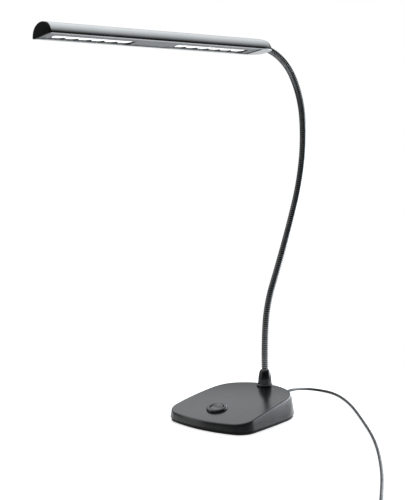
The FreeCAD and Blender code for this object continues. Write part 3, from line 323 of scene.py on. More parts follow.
def finish(name, colour, second, roughness, metallic=0.0, patch=35.0, grain=1400.0, depth=0.02,
           specular=0.5, lines=None, emission=None):
    """A finish: base colour that drifts between two tones, uneven roughness and a fine skin.

    patch and grain are the patterns' sizes as repeats in a metre, and depth is the height of the
    skin's bumps in millimetres. lines is the turn that lays drawn lines along a bar, in place of
    the grain. emission is a colour and a strength."""
    material = bpy.data.materials.new(name)
    material.use_nodes = True
    tree = material.node_tree
    shader = tree.nodes["Principled BSDF"]
    shader.inputs["Metallic"].default_value = metallic
    shader.inputs["Specular IOR Level"].default_value = specular
    place = tree.nodes.new("ShaderNodeTexCoord").outputs["Object"]
    if lines is not None:
        turn = tree.nodes.new("ShaderNodeMapping")
        turn.inputs["Rotation"].default_value = lines.to_euler()
        tree.links.new(place, turn.inputs["Vector"])
        place = turn.outputs["Vector"]
    uneven = tree.nodes.new("ShaderNodeGroup")
    uneven.node_tree = UNEVEN
    uneven.inputs["Patch size"].default_value = patch
    uneven.inputs["Roughness low"].default_value = roughness[0]
    uneven.inputs["Roughness high"].default_value = roughness[1]
    tree.links.new(place, uneven.inputs["Place"])
    tree.links.new(uneven.outputs["Roughness"], shader.inputs["Roughness"])
    tones = tree.nodes.new("ShaderNodeMix")
    tones.data_type = "RGBA"
    tones.inputs["A"].default_value = (*colour, 1.0)
    tones.inputs["B"].default_value = (*second, 1.0)
    tree.links.new(uneven.outputs["Mask"], tones.inputs["Factor"])
    tree.links.new(tones.outputs["Result"], shader.inputs["Base Color"])
    skin = tree.nodes.new("ShaderNodeGroup")
    skin.node_tree = GRAIN if lines is None else LINES
    skin.inputs["Grains per metre" if lines is None else "Lines per metre"].default_value = grain
    tree.links.new(place, skin.inputs["Place"])
    bump = tree.nodes.new("ShaderNodeBump")
    bump.inputs["Distance"].default_value = depth * MM
    tree.links.new(skin.outputs["Height"], bump.inputs["Height"])
    tree.links.new(bump.outputs["Normal"], shader.inputs["Normal"])
    if emission:
        shader.inputs["Emission Color"].default_value = (*emission[0], 1.0)
        shader.inputs["Emission Strength"].default_value = emission[1]
    return material


# ---------------------------------------------------------------- camera and light

CAMERA_PLACE = (0.8321, -1.0751, 0.360)
CAMERA_TILT, CAMERA_HEADING = 83.756, 39.526
LENS, SENSOR = 80.1, 36.0   # millimetres

SOFT_LIGHT = 0.52           # strength of the world as a lamp
FLOOR_GLOW = 0.65
FLOOR_MIDDLE, FLOOR_RADIUS, FLOOR_CORNERS = (0.12, -0.06), 0.42, 64
# What mirrors see: the span of a direction's turn or height, and the strengths at its two ends.
CEILING_WAY, CEILING_SPAN, CEILING_LIGHT = (-0.45, 0.20, 0.90), (0.20, 1.0), (0.015, 1.85)
HORIZON_SPAN, HORIZON_SHARE = (0.14, 0.50), (0.13, 1.0)
TABLE_WAY, TABLE_SPAN, TABLE_LIGHT = (-0.17, 0.985, 0.0), (0.0, 0.8), (0.08, 0.95)
TABLE_TO_CEILING = (-0.07, 0.05)


def add_camera():
    """A short telephoto between the base's and the head's height, at the lamp's right front."""
    lens = bpy.data.cameras.new("camera")
    lens.lens, lens.sensor_width = LENS, SENSOR
    camera = new_object("camera", lens)
    camera.location = CAMERA_PLACE
    camera.rotation_euler = (math.radians(CAMERA_TILT), 0.0, math.radians(CAMERA_HEADING))
    bpy.context.scene.camera = camera


def add_softbox(name, place, target, size, power, colour=(1.0, 1.0, 1.0), mirrored=True):
    """A rectangular area light that faces its target, and may show in mirrors."""
    light = bpy.data.lights.new(name, "AREA")
    light.shape = "RECTANGLE"
    light.size, light.size_y = size
    light.energy = power
    light.color = colour
    lamp = new_object(name, light)
    lamp.visible_camera = False
    lamp.visible_glossy = mirrored
    lamp.location = place
    lamp.rotation_euler = (Vector(target) - Vector(place)).to_track_quat("-Z", "Y").to_euler()


def either(tree, *sockets):
    """The greatest of a few values."""
    value = sockets[0]
    for other in sockets[1:]:
        more = tree.nodes.new("ShaderNodeMath")
        more.operation = "MAXIMUM"
        tree.links.new(value, more.inputs[0])
        tree.links.new(other, more.inputs[1])
        value = more.outputs["Value"]
    return value


def mixed(tree, factor, first, second):
    """Output of a mix of two shaders."""
    mix = tree.nodes.new("ShaderNodeMixShader")
    tree.links.new(factor, mix.inputs["Fac"])
    tree.links.new(first, mix.inputs[1])
    tree.links.new(second, mix.inputs[2])
    return mix.outputs["Shader"]


def ramp(tree, value, span, ends, smooth=False):
    """A value carried from one span to another and held at its ends."""
    node = tree.nodes.new("ShaderNodeMapRange")
    node.interpolation_type = "SMOOTHSTEP" if smooth else "LINEAR"
    for name, number in zip(("From Min", "From Max", "To Min", "To Max"), (*span, *ends)):
        node.inputs[name].default_value = number
    tree.links.new(value, node.inputs["Value"])
    return node.outputs["Result"]


def towards(tree, way, direction):
    """How far a direction turns towards another one: their dot product."""
    node = tree.nodes.new("ShaderNodeVectorMath")
    node.operation = "DOT_PRODUCT"
    node.inputs[1].default_value = direction
    tree.links.new(way, node.inputs[0])
    return node.outputs["Value"]


def add_world():
    """White to the eye and through glass, and a soft grey as a lamp. Mirrors show a studio beyond
    the floor: a ceiling that is brightest overhead and away from the viewer, a dim horizon, and a
    white table that reaches back."""
    world = bpy.data.worlds.new("studio")
    bpy.context.scene.world = world
    world.use_nodes = True
    tree = world.node_tree
    soft = tree.nodes["Background"]
    soft.inputs["Color"].default_value = (0.93, 0.96, 1.0, 1.0)
    soft.inputs["Strength"].default_value = SOFT_LIGHT
    white = tree.nodes.new("ShaderNodeBackground")
    white.inputs["Color"].default_value = (1.0, 1.0, 1.0, 1.0)
    way = tree.nodes.new("ShaderNodeTexCoord").outputs["Object"]
    height = towards(tree, way, (0.0, 0.0, 1.0))
    ceiling = ramp(tree, towards(tree, way, CEILING_WAY), CEILING_SPAN, CEILING_LIGHT)
    horizon = ramp(tree, height, HORIZON_SPAN, HORIZON_SHARE, smooth=True)
    above = tree.nodes.new("ShaderNodeMath")
    above.operation = "MULTIPLY"
    tree.links.new(ceiling, above.inputs[0])
    tree.links.new(horizon, above.inputs[1])
    below = ramp(tree, towards(tree, way, TABLE_WAY), TABLE_SPAN, TABLE_LIGHT, smooth=True)
    strength = tree.nodes.new("ShaderNodeMix")
    tree.links.new(ramp(tree, height, TABLE_TO_CEILING, (0.0, 1.0)), strength.inputs["Factor"])
    tree.links.new(below, strength.inputs["A"])
    tree.links.new(above.outputs["Value"], strength.inputs["B"])
    studio = tree.nodes.new("ShaderNodeBackground")
    studio.inputs["Color"].default_value = (0.95, 0.975, 1.0, 1.0)
    tree.links.new(strength.outputs["Result"], studio.inputs["Strength"])
    path = tree.nodes.new("ShaderNodeLightPath")
    unseen = mixed(tree, path.outputs["Is Glossy Ray"], soft.outputs["Background"],
                   studio.outputs["Background"])
    seen = either(tree, path.outputs["Is Camera Ray"], path.outputs["Is Transmission Ray"])
    tree.links.new(mixed(tree, seen, unseen, white.outputs["Background"]),
                   tree.nodes["World Output"].inputs["Surface"])


def add_floor():
    """A pale round floor. To the eye, in mirrors and through glass it also glows by itself, up to
    white where it is lit, so that it merges with the backdrop but keeps the lamp's shadow."""
    material = bpy.data.materials.new("studio_floor")
    material.use_nodes = True
    tree = material.node_tree
    shader = tree.nodes["Principled BSDF"]
    shader.inputs["Base Color"].default_value = (0.93, 0.93, 0.93, 1.0)
    shader.inputs["Roughness"].default_value = 0.9
    shader.inputs["Specular IOR Level"].default_value = 0.1
    glow = tree.nodes.new("ShaderNodeEmission")
    glow.inputs["Strength"].default_value = FLOOR_GLOW
    both = tree.nodes.new("ShaderNodeAddShader")
    tree.links.new(glow.outputs["Emission"], both.inputs[0])
    tree.links.new(shader.outputs["BSDF"], both.inputs[1])
    path = tree.nodes.new("ShaderNodeLightPath")
    seen = either(tree, path.outputs["Is Camera Ray"], path.outputs["Is Glossy Ray"],
                  path.outputs["Is Transmission Ray"])
    tree.links.new(mixed(tree, seen, shader.outputs["BSDF"], both.outputs["Shader"]),
                   tree.nodes["Material Output"].inputs["Surface"])
    angle = np.linspace(0, 2 * math.pi, FLOOR_CORNERS, endpoint=False)
    rim = np.stack([FLOOR_MIDDLE[0] + FLOOR_RADIUS * np.cos(angle),
                    FLOOR_MIDDLE[1] + FLOOR_RADIUS * np.sin(angle), 0 * angle], axis=1)
    add_piece("floor", rim, [range(FLOOR_CORNERS)], material)


# ---------------------------------------------------------------- lead

LEAD_RADIUS = 1.8 * MM
RELIEF_TIP = 0.1044
LEAD_ROUTE = [
    (0, RELIEF_TIP, 0.014), (0, 0.117, 0.014), (-0.002, 0.131, 0.0124), (-0.006, 0.146, 0.0096),
    (-0.008, 0.160, 0.0068), (-0.005, 0.174, 0.0042), (0.006, 0.183, 0.0024), (0.021, 0.183, 0.0019),
    (0.038, 0.175, 0.0019), (0.058, 0.160, 0.0019), (0.079, 0.141, 0.0019), (0.103, 0.116, 0.0019),
    (0.137, 0.078, 0.0019), (0.171, 0.039, 0.0019), (0.202, -0.001, 0.0019), (0.231, -0.043, 0.0019),
    (0.260, -0.088, 0.0019), (0.286, -0.133, 0.0019), (0.311, -0.178, 0.0019), (0.3335, -0.219, 0.0019),
]
LEAD_END_ROUTE = [(0.3383, -0.2253, 0.0092), (0.350, -0.2355, 0.0075), (0.3605, -0.2475, 0.0065),
                  (0.370, -0.259, 0.0065)]
COIL_CENTRE = (0.3563, -0.2073)
COIL_OUTER_TURN = 25.6 * MM
COIL_LANE = 3.7 * MM
COIL_LANES = 4
COIL_LAYER = 3.65 * MM
COIL_FIRST_HEIGHT = 1.9 * MM
COIL_START_ANGLE = 209.0
COIL_TURNS = 9
POINTS_PER_TURN = 16
NEXT_LANE_AT = 0.86         # share of a turn at which it starts to move into the next lane
NEXT_LAYER_AT, CLIMB = 0.66, 0.18
WANDER, WANDER_STEP = 0.12 * MM, 2.3


def coil_points():
    """Turns of the stored length: inwards along the floor, outwards on top of that, then a third
    layer. Each turn keeps to its lane and changes lane or layer in its last part."""
    points = []
    shrink = math.cos(math.pi / POINTS_PER_TURN)
    for step in range(1, COIL_TURNS * POINTS_PER_TURN + 1):
        turn, part = divmod(step / POINTS_PER_TURN, 1.0)
        layer, lane = divmod(int(turn), COIL_LANES)
        side_step = min(max((part - NEXT_LANE_AT) / (1 - NEXT_LANE_AT), 0.0), 1.0)
        climb = min(max((part - NEXT_LAYER_AT) / CLIMB, 0.0), 1.0) if lane == COIL_LANES - 1 else 0.0
        if lane < COIL_LANES - 1:
            lane += side_step
        if layer % 2:
            lane = COIL_LANES - 1 - lane
        wander = WANDER * math.sin(WANDER_STEP * step) * math.sin(math.pi * part)
        radius = (COIL_OUTER_TURN - lane * COIL_LANE + wander) / shrink
        angle = math.radians(COIL_START_ANGLE) + 2 * math.pi * step / POINTS_PER_TURN
        points.append((COIL_CENTRE[0] + radius * math.cos(angle),
                       COIL_CENTRE[1] + radius * math.sin(angle),
                       COIL_FIRST_HEIGHT + (layer + climb) * COIL_LAYER))
    return points


def add_lead(material):
    """The whole low voltage lead as one smooth line of its own thickness."""
    curve = bpy.data.curves.new("low_voltage_lead", "CURVE")
    curve.dimensions = "3D"
    curve.bevel_depth = LEAD_RADIUS
    curve.bevel_resolution = 4
    curve.resolution_u = 8
    curve.use_fill_caps = True
    route = LEAD_ROUTE + coil_points() + LEAD_END_ROUTE
    line = curve.splines.new("NURBS")
    line.points.add(len(route) - 1)
    for point, place in zip(line.points, route):
        point.co = (*place, 1.0)
    line.order_u = 3
    line.use_endpoint_u = True
    curve.materials.append(material)
    lead = new_object("low_voltage_lead", curve)
    return finish_piece(lead, "base", "power_cord", "power_cord_coil", "power_cord_end")


# ---------------------------------------------------------------- base

BASE_FRONT_HALF = 62.5 * MM
BASE_BACK_HALF = 57.25 * MM
BASE_HALF_DEPTH = 62.0 * MM
# How far the front, right, back and left sides bulge, and the radii of the corners from front left
# round to back left.
BASE_BOWS = (12.3 * MM, 2.5 * MM, 14.3 * MM, 2.5 * MM)
BASE_CORNERS = (25.0 * MM, 25.0 * MM, 55.0 * MM, 55.0 * MM)
BASE_BOTTOM = 5.0 * MM
WALL_DRAFT = math.tan(math.radians(9.6))
WALL = 2.5 * MM
ROOF_SPAN = 80.0 * MM
ROOF_FRONT = 11.2 * MM
ROOF_BACK = 31.6 * MM
ROOF_RISE = 4.3 * MM
ROOF_CROSS = 1.5            # radius of the roof's curve from side to side
# The rim's radius, what it gains at the back, and where along Y it starts to and for how long.
FRONT_RIM, BACK_GAIN = 1.7 * MM, 4.2 * MM
BACK_STARTS, BACK_GROWS = 45 * MM, 30 * MM
INNER_RIM = 1.0 * MM
COLLAR_Y = 59.3 * MM
SEAT_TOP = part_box("neck_collar")[0].z + 12.0 * MM
SWITCH_Y = -39.0 * MM
LEAD_HEIGHT = 14.0 * MM
LEAD_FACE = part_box("strain_relief")[1].y - 28.6 * MM
# Holes are a radius and half a length, and profiles are radius and height in millimetres.
SWITCH_HOLE = (10.1 * MM, 8 * MM)
COLLAR_HOLE = (5.1 * MM, 12 * MM)
LEAD_HOLE = (3.4 * MM, 9 * MM)
LEAD_BOSS = [(3.4, -4.5), (5.5, -4.5), (5.5, -0.2), (5.3, 0.0), (3.4, 0.0)]
NECK_BOSS = [(5.1, -4.2), (10.2, -4.2), (10.2, -0.15), (10.05, 0.0), (5.1, 0.0)]
ROCKER_TILT = 9.0           # degrees by which it leans at rest, and each half rises outwards
MARK_RISE, PIVOT_DROP = 2.1 * MM, 0.2 * MM
MARK_REACH, MARK_DEPTHS = 4.7, (-0.05, 0.03)    # millimetres, as the marks' own outlines are


def through(a, b, rise):
    """Centre and radius of the circle through a and b that bulges by rise to the right of a to b."""
    a, b = np.array(a), np.array(b)
    chord = b - a
    length = np.linalg.norm(chord)
    radius = (length ** 2 / 4 + rise ** 2) / (2 * rise)
    left = np.array([-chord[1], chord[0]]) / length
    return (a + b) / 2 + left * (radius - rise), radius


def base_outline(count=48):
    """Outline of the base from above, counter-clockwise, with its outward normals: four shallow
    arcs joined by four round corners that touch both neighbours from inside."""
    corners = [(-BASE_FRONT_HALF, -BASE_HALF_DEPTH), (BASE_FRONT_HALF, -BASE_HALF_DEPTH),
               (BASE_BACK_HALF, BASE_HALF_DEPTH), (-BASE_BACK_HALF, BASE_HALF_DEPTH)]
    sides = [through(corners[i], corners[(i + 1) % 4], BASE_BOWS[i]) for i in range(4)]
    rounds = []
    for i in range(4):
        (centre_a, radius_a), (centre_b, radius_b) = sides[i - 1], sides[i]
        small = BASE_CORNERS[i]
        reach_a, reach_b = radius_a - small, radius_b - small
        gap = np.linalg.norm(centre_b - centre_a)
        ahead = (reach_a ** 2 - reach_b ** 2 + gap ** 2) / (2 * gap)
        off = math.sqrt(reach_a ** 2 - ahead ** 2)
        way = (centre_b - centre_a) / gap
        square = np.array([-way[1], way[0]])
        found = [centre_a + way * ahead + square * off * sign for sign in (-1, 1)]
        rounds.append((min(found, key=lambda c: np.linalg.norm(c - np.array(corners[i]))), small))
    points, normals = [], []
    for i in range(4):
        side_centre, side_radius = sides[i]
        ends = []
        for (centre, _), other in ((rounds[i], sides[i]), (rounds[(i + 1) % 4], sides[i])):
            way = centre - other[0]
            ends.append(math.atan2(way[1], way[0]))
        before = rounds[i][0] - sides[i - 1][0]
        start = math.atan2(before[1], before[0])
        for centre, radius, a, b in ((*rounds[i], start, ends[0]),
                                     (side_centre, side_radius, ends[0], ends[1])):
            turn = (b - a) % (2 * math.pi)
            angle = a + turn * np.linspace(0, 1, count, endpoint=False)
            normal = np.stack([np.cos(angle), np.sin(angle)], axis=1)
            points.append(centre + radius * normal)
            normals.append(normal)
    return np.concatenate(points), np.concatenate(normals)


def roof_height(x, y, drop=0.0):
    """Height of the roof: a long arc from front to back that falls off slowly to both sides."""
    fall = ROOF_BACK - ROOF_FRONT
    chord = math.hypot(2 * ROOF_SPAN, fall)
    radius = (chord ** 2 / 4 + ROOF_RISE ** 2) / (2 * ROOF_RISE)
    down = np.array([fall, -2 * ROOF_SPAN]) / chord
    centre = np.array([0.0, (ROOF_FRONT + ROOF_BACK) / 2]) + down * (radius - ROOF_RISE)
    spine = centre[1] + np.sqrt(radius ** 2 - (y - centre[0]) ** 2)
    return spine - drop - (ROOF_CROSS - np.sqrt(ROOF_CROSS ** 2 - x ** 2))


def shell_rows(inset, drop, rim):
    """Rows of points of a drafted wall that turns over a round rim into the roof.

    The wall leans in with height, the edge is where it meets the roof, and the rim is the curve
    through wall, edge and roof whose weights are the squares of the way along it."""
    outline, normal = base_outline()
    rim = rim(outline) if callable(rim) else np.full(len(outline), rim)
    height = np.full(len(outline), 20 * MM)
    for _ in range(12):
        edge = outline - normal * (inset + (height - BASE_BOTTOM) * WALL_DRAFT)[:, None]
        height = roof_height(edge[:, 0], edge[:, 1], drop)

    def wall_at(level):
        flat = outline - normal * (inset + (level - BASE_BOTTOM) * WALL_DRAFT)[:, None]
        return np.column_stack([flat, level])

    def roof_at(share):
        flat = edge * share[:, None]
        return np.column_stack([flat, roof_height(flat[:, 0], flat[:, 1], drop)])

    start = 1 - rim / np.linalg.norm(edge, axis=1)
    low, corner, inward = wall_at(height - rim), np.column_stack([edge, height]), roof_at(start)
    rows = [wall_at(np.full(len(outline), BASE_BOTTOM))]
    rows += [wall_at(BASE_BOTTOM + (height - rim - BASE_BOTTOM) * share) for share in (0.33, 0.66)]
    for share in np.linspace(0, 1, 9):
        rows.append((1 - share) ** 2 * low + 2 * share * (1 - share) * corner + share ** 2 * inward)
    rows += [roof_at(start * share) for share in np.linspace(0.97, 0.02, 30)]
    return np.stack(rows)


def soft_back(outline):
    """Radius of the rim: small at the front and the sides, and grown smoothly along the back."""
    back = np.clip((outline[:, 1] - BACK_STARTS) / BACK_GROWS, 0, 1)
    return FRONT_RIM + BACK_GAIN * back ** 2 * (3 - 2 * back)


def add_base_shell(material):
    """The hollow housing, cut open for the switch, the collar and the lead."""
    outer = shell_rows(0.0, 0.0, soft_back)
    inner = shell_rows(WALL, WALL, INNER_RIM)
    rows, columns, _ = outer.shape
    faces = [list(face) for face in grid_faces(rows, columns)]
    faces += [list(face[::-1]) for face in grid_faces(rows, columns, rows * columns)]
    last = (rows - 1) * columns
    faces.append(list(range(last, last + columns)))
    faces.append(list(range(rows * columns + last, rows * columns + last + columns))[::-1])
    for j in range(columns):
        k = (j + 1) % columns
        faces.append([k, j, rows * columns + j, rows * columns + k])
    points = np.concatenate([outer.reshape(-1, 3), inner.reshape(-1, 3)])
    shell = add_piece("base_shell", points, faces, material)
    place, turn = switch_frame()
    drill(shell, [(place, turn @ Vector((0, 0, 1)), *SWITCH_HOLE),
                  ((0.0, COLLAR_Y, SEAT_TOP), (0, 0, 1), *COLLAR_HOLE),
                  ((0.0, LEAD_FACE, LEAD_HEIGHT), (0, 1, 0), *LEAD_HOLE)])
    return finish_piece(shell, "base", "base_housing")


def add_seat(name, material, place, axis, profile):
    """A low round boss of the housing that gives a piece a flat seat."""
    rings = turned(np.array(profile) * MM, place, axis, FINE_ROUND)
    seat = finish_piece(add_piece(name, *closed_tube(rings), material), "base")


def switch_frame():
    """Middle of the switch on the roof, and the directions of its own axes."""
    step = 0.5 * MM
    rise = roof_height(0.0, SWITCH_Y + step) - roof_height(0.0, SWITCH_Y - step)
    slope = math.atan2(rise, 2 * step)
    place = np.array([0.0, SWITCH_Y, roof_height(0.0, SWITCH_Y)])
    return place, Matrix.Rotation(slope, 3, "X")


def add_collar(material):
    """Bell-shaped nut: a flange with a step, a waist that swells and a round shoulder."""
    profile = bend_profile([
        (2.2, -12.0, 0), (5.0, -12.0, 0.4), (5.0, 0.0, 0), (10.5, 0.0, 0.2), (10.5, 1.5, 0.5),
        (9.6, 2.1, 0.3), (8.9, 2.1, 0.3), (8.75, 6.0, 3.0), (8.2, 12.0, 4.0), (6.9, 18.2, 2.4),
        (5.2, 20.9, 1.4), (3.5, 20.9, 0.3), (3.5, 12.0, 0), (2.2, 12.0, 0)]) * MM
    rings = turned(profile, (0.0, COLLAR_Y, SEAT_TOP), (0, 0, 1), FINE_ROUND)
    collar = add_piece("neck_nut", *closed_tube(rings), material)
    return finish_piece(collar, "base", "neck_collar")


def add_switch(material, mark_material):
    """Bezel with a domed rim round its barrel, and the rocker with its two marks."""
    place, turn = switch_frame()
    axis = np.array(turn @ Vector((0, 0, 1)))
    profile = bend_profile([
        (0.05, -9.0, 0), (10.0, -9.0, 0.5), (10.0, 0.0, 0), (13.0, 0.0, 0.1), (13.0, 1.3, 0.5),
        (12.0, 2.9, 0.9), (10.2, 3.4, 0.7), (8.75, 2.9, 0.4), (8.75, -7.7, 0), (0.05, -7.7, 0)],
        steps=5) * MM
    bezel = add_piece("switch_bezel", *closed_loft(turned(profile, place, axis, FINE_ROUND)), material)
    finish_piece(bezel, "base", "switch_body")
    dress("switch_rocker", "rocker_key", material, 0.7 * MM)
    tilt = Matrix.Rotation(math.radians(ROCKER_TILT), 3, "X")
    pivot = place + np.array(turn @ Vector((0, 0, -PIVOT_DROP)))
    for name, side, shape in (("mark_on", -1, bar_mark), ("mark_off", 1, ring_mark)):
        lean = Matrix.Rotation(math.radians(ROCKER_TILT * side), 3, "X")
        points, faces = shape()
        flat = points @ np.array(lean).T + np.array([0, 0, MARK_RISE])
        mark = add_piece(name, flat @ np.array(turn @ tilt).T + pivot, faces, mark_material)
        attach(mark, "rocker")


def ring_mark():
    """A flat ring, printed on the rear half of the rocker."""
    angle = np.linspace(0, 2 * math.pi, PLAIN_ROUND, endpoint=False)
    inner, outer, (low, high) = 1.25, 1.7, MARK_DEPTHS
    rings = np.stack([np.stack([radius * np.cos(angle), MARK_REACH + radius * np.sin(angle),
                                np.full(PLAIN_ROUND, height)], axis=1)
                      for radius, height in ((inner, low), (outer, low), (outer, high), (inner, high))]) * MM
    return closed_tube(rings)


def bar_mark():
    """A flat bar, printed on the front half of the rocker."""
    half_width, half_length, middle = 0.26, 1.7, -MARK_REACH
    corners = np.array([(-half_width, middle - half_length), (half_width, middle - half_length),
                        (half_width, middle + half_length), (-half_width, middle + half_length)])
    rings = np.stack([np.column_stack([corners, np.full(4, z)]) for z in MARK_DEPTHS]) * MM
    return closed_loft(rings)


def add_relief(material):
    """Rubber sleeve: a row of grooves in its taper, each the clipped top of a sine, lets it bend."""
    flange, length, grooves, groove_depth, plain_tip = 1.6 * MM, 27.0 * MM, 6.0, 0.5, 0.93
    share = np.linspace(0, 1, 120)
    taper = 3.3 + (2.5 - 3.3) * share
    groove = groove_depth * np.clip(np.sin(2 * math.pi * (share * grooves - 0.1)) * 3 - 1.2, 0, 1)
    sleeve = np.stack([(taper - groove * (share < plain_tip)) * MM, flange + share * length], axis=1)
    root = np.array([(0.05, -6.1), (4.6, -6.1), (4.6, -4.5), (3.3, -4.5), (3.3, 0.0), (4.6, 0.0),
                     (4.6, 1.2), (4.2, 1.6)]) * MM
    profile = np.concatenate([root, sleeve])
    rings = turned(profile, (0.0, LEAD_FACE, LEAD_HEIGHT), (0, 1, 0), PLAIN_ROUND)
    relief = add_piece("lead_sleeve", *closed_loft(rings), material)
    return finish_piece(relief, "base", "strain_relief")


# ---------------------------------------------------------------- wound neck

LINK, LINKS = 55.0 * MM, 8
# How far the neck leans back from upright at its foot and at the end of each link.
LEANS = np.radians([-2.0, 3.0, 21.0, 19.5, 17.0, 6.5, -6.0, -30.5, -74.0])
NECK_HEADING = math.radians(90 - 14.3)
NECK_FOOT = np.array([0.0, COLLAR_Y, SEAT_TOP + 20.9 * MM])
WIRE_PITCH = 2.75 * MM
GROOVE, CREST = 3.75 * MM, 4.1 * MM
WIRE_FLATNESS = 4           # exponent of the wire's outline: 2 is round, more is flatter
WIRE_CREASE = 60.0


def neck_line(distance):
    """Places, and directions along, back and across, at distances along the neck. Each link is an
    arc: its lean from upright grows evenly from one end's value to the other's."""
    turns = np.diff(LEANS)
    steps = [LINK / turn * np.array([math.cos(a) - math.cos(a + turn), math.sin(a + turn) - math.sin(a)])
             for a, turn in zip(LEANS, turns)]
    starts = np.concatenate([[[0.0, 0.0]], np.cumsum(steps, axis=0)])
    link = np.clip((distance / LINK).astype(int), 0, len(turns) - 1)
    lean = LEANS[link] + turns[link] * (distance / LINK - link)
    radius = LINK / turns[link]
    back = starts[link, 0] + radius * (np.cos(LEANS[link]) - np.cos(lean))
    up = starts[link, 1] + radius * (np.sin(lean) - np.sin(LEANS[link]))
    rearwards = np.array([math.cos(NECK_HEADING), math.sin(NECK_HEADING), 0.0])
    upwards = np.array([0.0, 0.0, 1.0])
    places = NECK_FOOT + back[:, None] * rearwards + up[:, None] * upwards
    along = np.sin(lean)[:, None] * rearwards + np.cos(lean)[:, None] * upwards
    out = np.cos(lean)[:, None] * rearwards - np.sin(lean)[:, None] * upwards
    return places, along, out


def wound_rings(start, end, columns=36, per_pitch=14):
    """Rings of the wound tube: its radius swells and falls like a flattened wire, and the wire's
    place along the neck goes on by one pitch for each turn round it."""
    count = int(round((end - start) / WIRE_PITCH * per_pitch)) + 1
    distance = np.linspace(start, end, count)
    places, along, out = neck_line(distance)
    across = np.cross(along, out)
    angle = np.linspace(0, 2 * math.pi, columns, endpoint=False)
    phase = distance[:, None] / WIRE_PITCH - angle[None, :] / (2 * math.pi)
    off_crest = np.abs(2 * (phase - np.floor(phase)) - 1)
    radius = GROOVE + (CREST - GROOVE) * np.sqrt(np.clip(1 - off_crest ** WIRE_FLATNESS, 0, 1))
    return (places[:, None, :] + radius[..., None]
            * (np.cos(angle)[None, :, None] * out[:, None, :]
               + np.sin(angle)[None, :, None] * across[:, None, :]))


def add_neck(material):
    """Nine stretches: each of the inner seven reaches across one joint, from mid-link to mid-link, and is
    left where it is built; the first hangs on the base and the last on the head.
    """
    bodies = ["base"] + [f"neck_{i}" for i in range(2, LINKS)] + ["head"]
    marks = [0.0] + [LINK * (i + 0.5) for i in range(LINKS)] + [LINK * LINKS]
    for i in range(LINKS + 1):
        rings = wound_rings(marks[i], marks[i + 1])
        piece = add_piece(f"neck_winding_{i}", *closed_loft(rings), material, WIRE_CREASE)
        if 0 < i < LINKS:
            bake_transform(piece)
        else:
            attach(piece, bodies[0] if i == 0 else bodies[-1])
        node = f"neck_link_{min(i + 1, LINKS)}"
        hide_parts(node)


# ---------------------------------------------------------------- head

# The head starts at the neck's end, and is headed, pitched and rolled by these angles.
HEAD_PLACE = np.array([0.5715, 59.079, 453.492]) * MM
HEAD_TURN = (Matrix.Rotation(math.radians(-104.3), 3, "Z") @ Matrix.Rotation(math.radians(-1.0), 3, "Y")
             @ Matrix.Rotation(math.radians(7.6), 3, "X"))
# Sizes of the head, in millimetres of its own frame: along from the neck, across, and up.
HEAD_HALF, HEAD_TALL, HEAD_SHOULDER = 19.1, 15.4, 14.5
HEAD_WALL, HEAD_LIP, LIP_WIDTH = 1.4, 0.8, 2.0
NOSE_LENGTH, HEAD_END, CAP_THICK = 19.0, 316.0, 3.0
NOSE_HALF, NOSE_TALL, NOSE_MIDDLE = 5.6, 9.6, 4.6
NOSE_EASE, NOSE_EASE_LENGTH = 0.12, 0.035   # shares of the nose's width and of its length
FRAME_LIP, SHELL_ROW = 2.5, 1.0
SHELL_CORNER, END_CORNER = 0.5, 0.7
FLOOR_POINTS = 7            # points of the D's flat floor, with which its outline starts
HEAD_CREASE = 30.0


def to_head(points):
    """Millimetres along, across and above the head, to the lamp's own frame."""
    return np.asarray(points) * MM @ np.array(HEAD_TURN).T + HEAD_PLACE


def arch(half, tall, shoulder, inset=0.0, floor=0.0, count=24):
    """The head's D without its floor, right foot to left foot: a shoulder arc, a flatter crown arc
    that touches it, and the other shoulder, all drawn in by inset."""
    side, lift = half - shoulder, tall - shoulder
    sag = (side ** 2 - lift ** 2) / (2 * lift)
    small, large = shoulder - inset, tall + sag - inset
    foot = math.asin(floor / small)
    touch = math.atan2(sag, side)
    flank = np.linspace(foot, touch, count)
    crown = np.linspace(touch, math.pi - touch, 3 * count)[1:-1]
    right = np.stack([side + small * np.cos(flank), small * np.sin(flank)], axis=1)
    top = np.stack([large * np.cos(crown), large * np.sin(crown) - sag], axis=1)
    return np.concatenate([right, top, right[::-1] * (-1, 1)])


def closed_d(inset=0.0, corner=END_CORNER):
    """The whole D, counter-clockwise from the left foot: a flat floor, two small round corners
    and the arch, drawn in by inset."""
    small = HEAD_SHOULDER - inset
    low = corner + inset
    curve = arch(HEAD_HALF, HEAD_TALL, HEAD_SHOULDER, inset, low)
    side = HEAD_HALF - HEAD_SHOULDER
    middle = side + math.sqrt((small - corner) ** 2 - low ** 2)
    turn = np.linspace(-math.pi / 2, math.asin(low / (small - corner)), 7)[:-1]
    right = np.stack([middle + corner * np.cos(turn), low + corner * np.sin(turn)], axis=1)
    flat = np.linspace(-middle, middle, FLOOR_POINTS + 2)[1:-1]
    floor = np.stack([flat, np.full(FLOOR_POINTS, low - corner)], axis=1)
    return np.concatenate([floor, right, curve, right[::-1] * (-1, 1)])


def sweep_along_head(outlines, distances):
    """Rings of an outline at distances from the neck's end."""
    rings = [np.column_stack([np.full(len(outline), x), outline])
             for outline, x in zip(outlines, distances)]
    return to_head(np.stack(rings))


